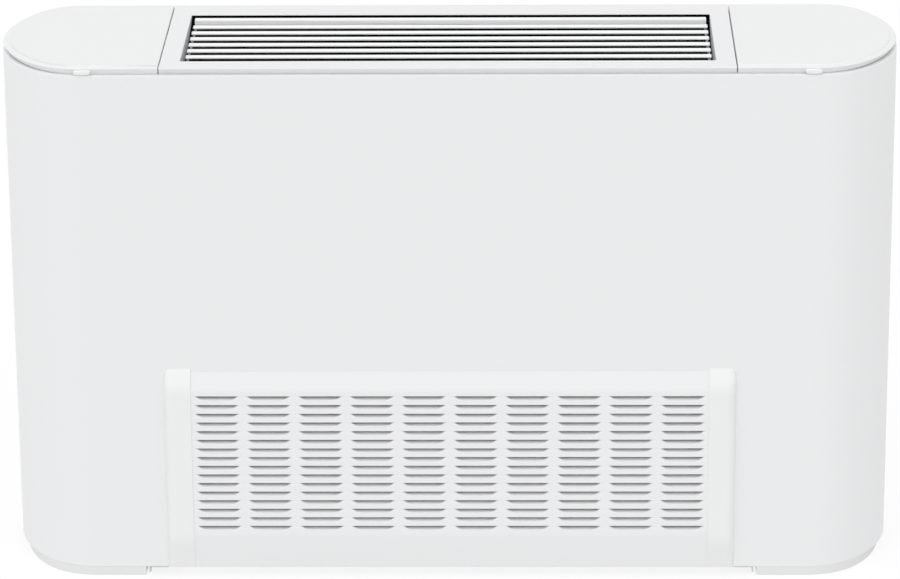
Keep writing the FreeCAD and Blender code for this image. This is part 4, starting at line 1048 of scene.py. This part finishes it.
class FANCOIL_OT_stage(bpy.types.Operator):
    """Set up the white floor, the soft surroundings and the camera"""
    bl_idname = "fan_coil.stage"
    bl_label = "Stage"

    def execute(self, context):
        stage = settings()[2]
        self.make_world(stage)
        self.make_floor(stage)
        camera = bpy.data.cameras.new("camera")
        camera.sensor_width = 36.0
        camera.lens = stage.camera_lens
        camera.clip_end = 100.0
        holder = add_object("camera", camera)
        holder.location = stage.camera_place
        holder.rotation_euler = stage.camera_turn
        bpy.context.scene.camera = holder
        bpy.context.scene.view_settings.view_transform = "Standard"
        return {"FINISHED"}

    def make_world(self, stage):
        """Soft light that grows towards the left, the front and the top."""
        world = bpy.data.worlds.new("surroundings")
        bpy.context.scene.world = world
        world.use_nodes = True
        tree = world.node_tree
        tree.nodes.clear()
        place = tree.nodes.new("ShaderNodeTexCoord")
        axes = node(tree, "ShaderNodeSeparateXYZ", {"Vector": place.outputs["Generated"]})
        level = stage.sky_base
        for axis, slope in (("X", -stage.sky_left), ("Y", -stage.sky_front), ("Z", stage.sky_up)):
            level = math_node(tree, "ADD", math_node(tree, "MULTIPLY", axes.outputs[axis], slope), level)
        soft = node(tree, "ShaderNodeBackground", {"Strength": level}, Color=WHITE)
        white = node(tree, "ShaderNodeBackground", Color=WHITE)
        backdrop(tree, soft, white, "ShaderNodeOutputWorld")

    def make_floor(self, stage):
        """White floor that sends light up and keeps the object's shadow."""
        half = stage.floor_size / 2
        bm = bmesh.new()
        bm.faces.new([bm.verts.new(point) for point in ring(half, -half, half, 0)])
        floor = make_object("floor", bm)
        material = bpy.data.materials.new("floor_white")
        material.use_nodes = True
        tree = material.node_tree
        tree.nodes.clear()
        bounce = node(tree, "ShaderNodeEmission", Color=WHITE, Strength=stage.floor_glow)
        glow = node(tree, "ShaderNodeEmission", Color=WHITE)
        shaded = node(tree, "ShaderNodeBsdfDiffuse", Color=WHITE)
        seen = node(tree, "ShaderNodeMixShader", {1: glow.outputs[0], 2: shaded.outputs[0]})
        seen.inputs[0].default_value = stage.floor_shadow
        backdrop(tree, bounce, seen, "ShaderNodeOutputMaterial")
        floor.data.materials.append(material)


# Add-on


class FANCOIL_PT_panel(bpy.types.Panel):
    """Sidebar panel with the unit's sizes and one button per step"""
    bl_label = "Fan Coil"
    bl_idname = "FANCOIL_PT_panel"
    bl_space_type = "VIEW_3D"
    bl_region_type = "UI"
    bl_category = "Fan Coil"

    def draw(self, context):
        for step in STEPS:
            self.layout.operator(step.bl_idname)
        for group in settings():
            column = self.layout.column()
            for name in group.__annotations__:
                column.prop(group, name)


STEPS = (FANCOIL_OT_finishes, FANCOIL_OT_front_panel, FANCOIL_OT_lids, FANCOIL_OT_top_frame,
         FANCOIL_OT_skirts, FANCOIL_OT_intake_grille, FANCOIL_OT_end_caps, FANCOIL_OT_outlet_grille,
         FANCOIL_OT_coil_fins, FANCOIL_OT_stage)
GROUPS = {"fan_coil_casing": FanCoilCasing, "fan_coil_grille": FanCoilGrille, "fan_coil_stage": FanCoilStage}


def register():
    """Register the classes and hang the values on the scene."""
    for kind in (*GROUPS.values(), *STEPS, FANCOIL_PT_panel):
        bpy.utils.register_class(kind)
    for name, kind in GROUPS.items():
        setattr(bpy.types.Scene, name, bpy.props.PointerProperty(type=kind))


def unregister():
    """Undo register."""
    for name in GROUPS:
        delattr(bpy.types.Scene, name)
    for kind in reversed((*GROUPS.values(), *STEPS, FANCOIL_PT_panel)):
        bpy.utils.unregister_class(kind)


def main():
    """Run every step in order."""
    register()
    steps = bpy.ops.fan_coil
    for step in (steps.finishes, steps.front_panel, steps.lids, steps.top_frame, steps.skirts,
                 steps.intake_grille, steps.end_caps, steps.outlet_grille, steps.coil_fins, steps.stage):
        if step() != {"FINISHED"}:
            raise RuntimeError("a step did not finish")


if __name__ == "__main__":
    main()
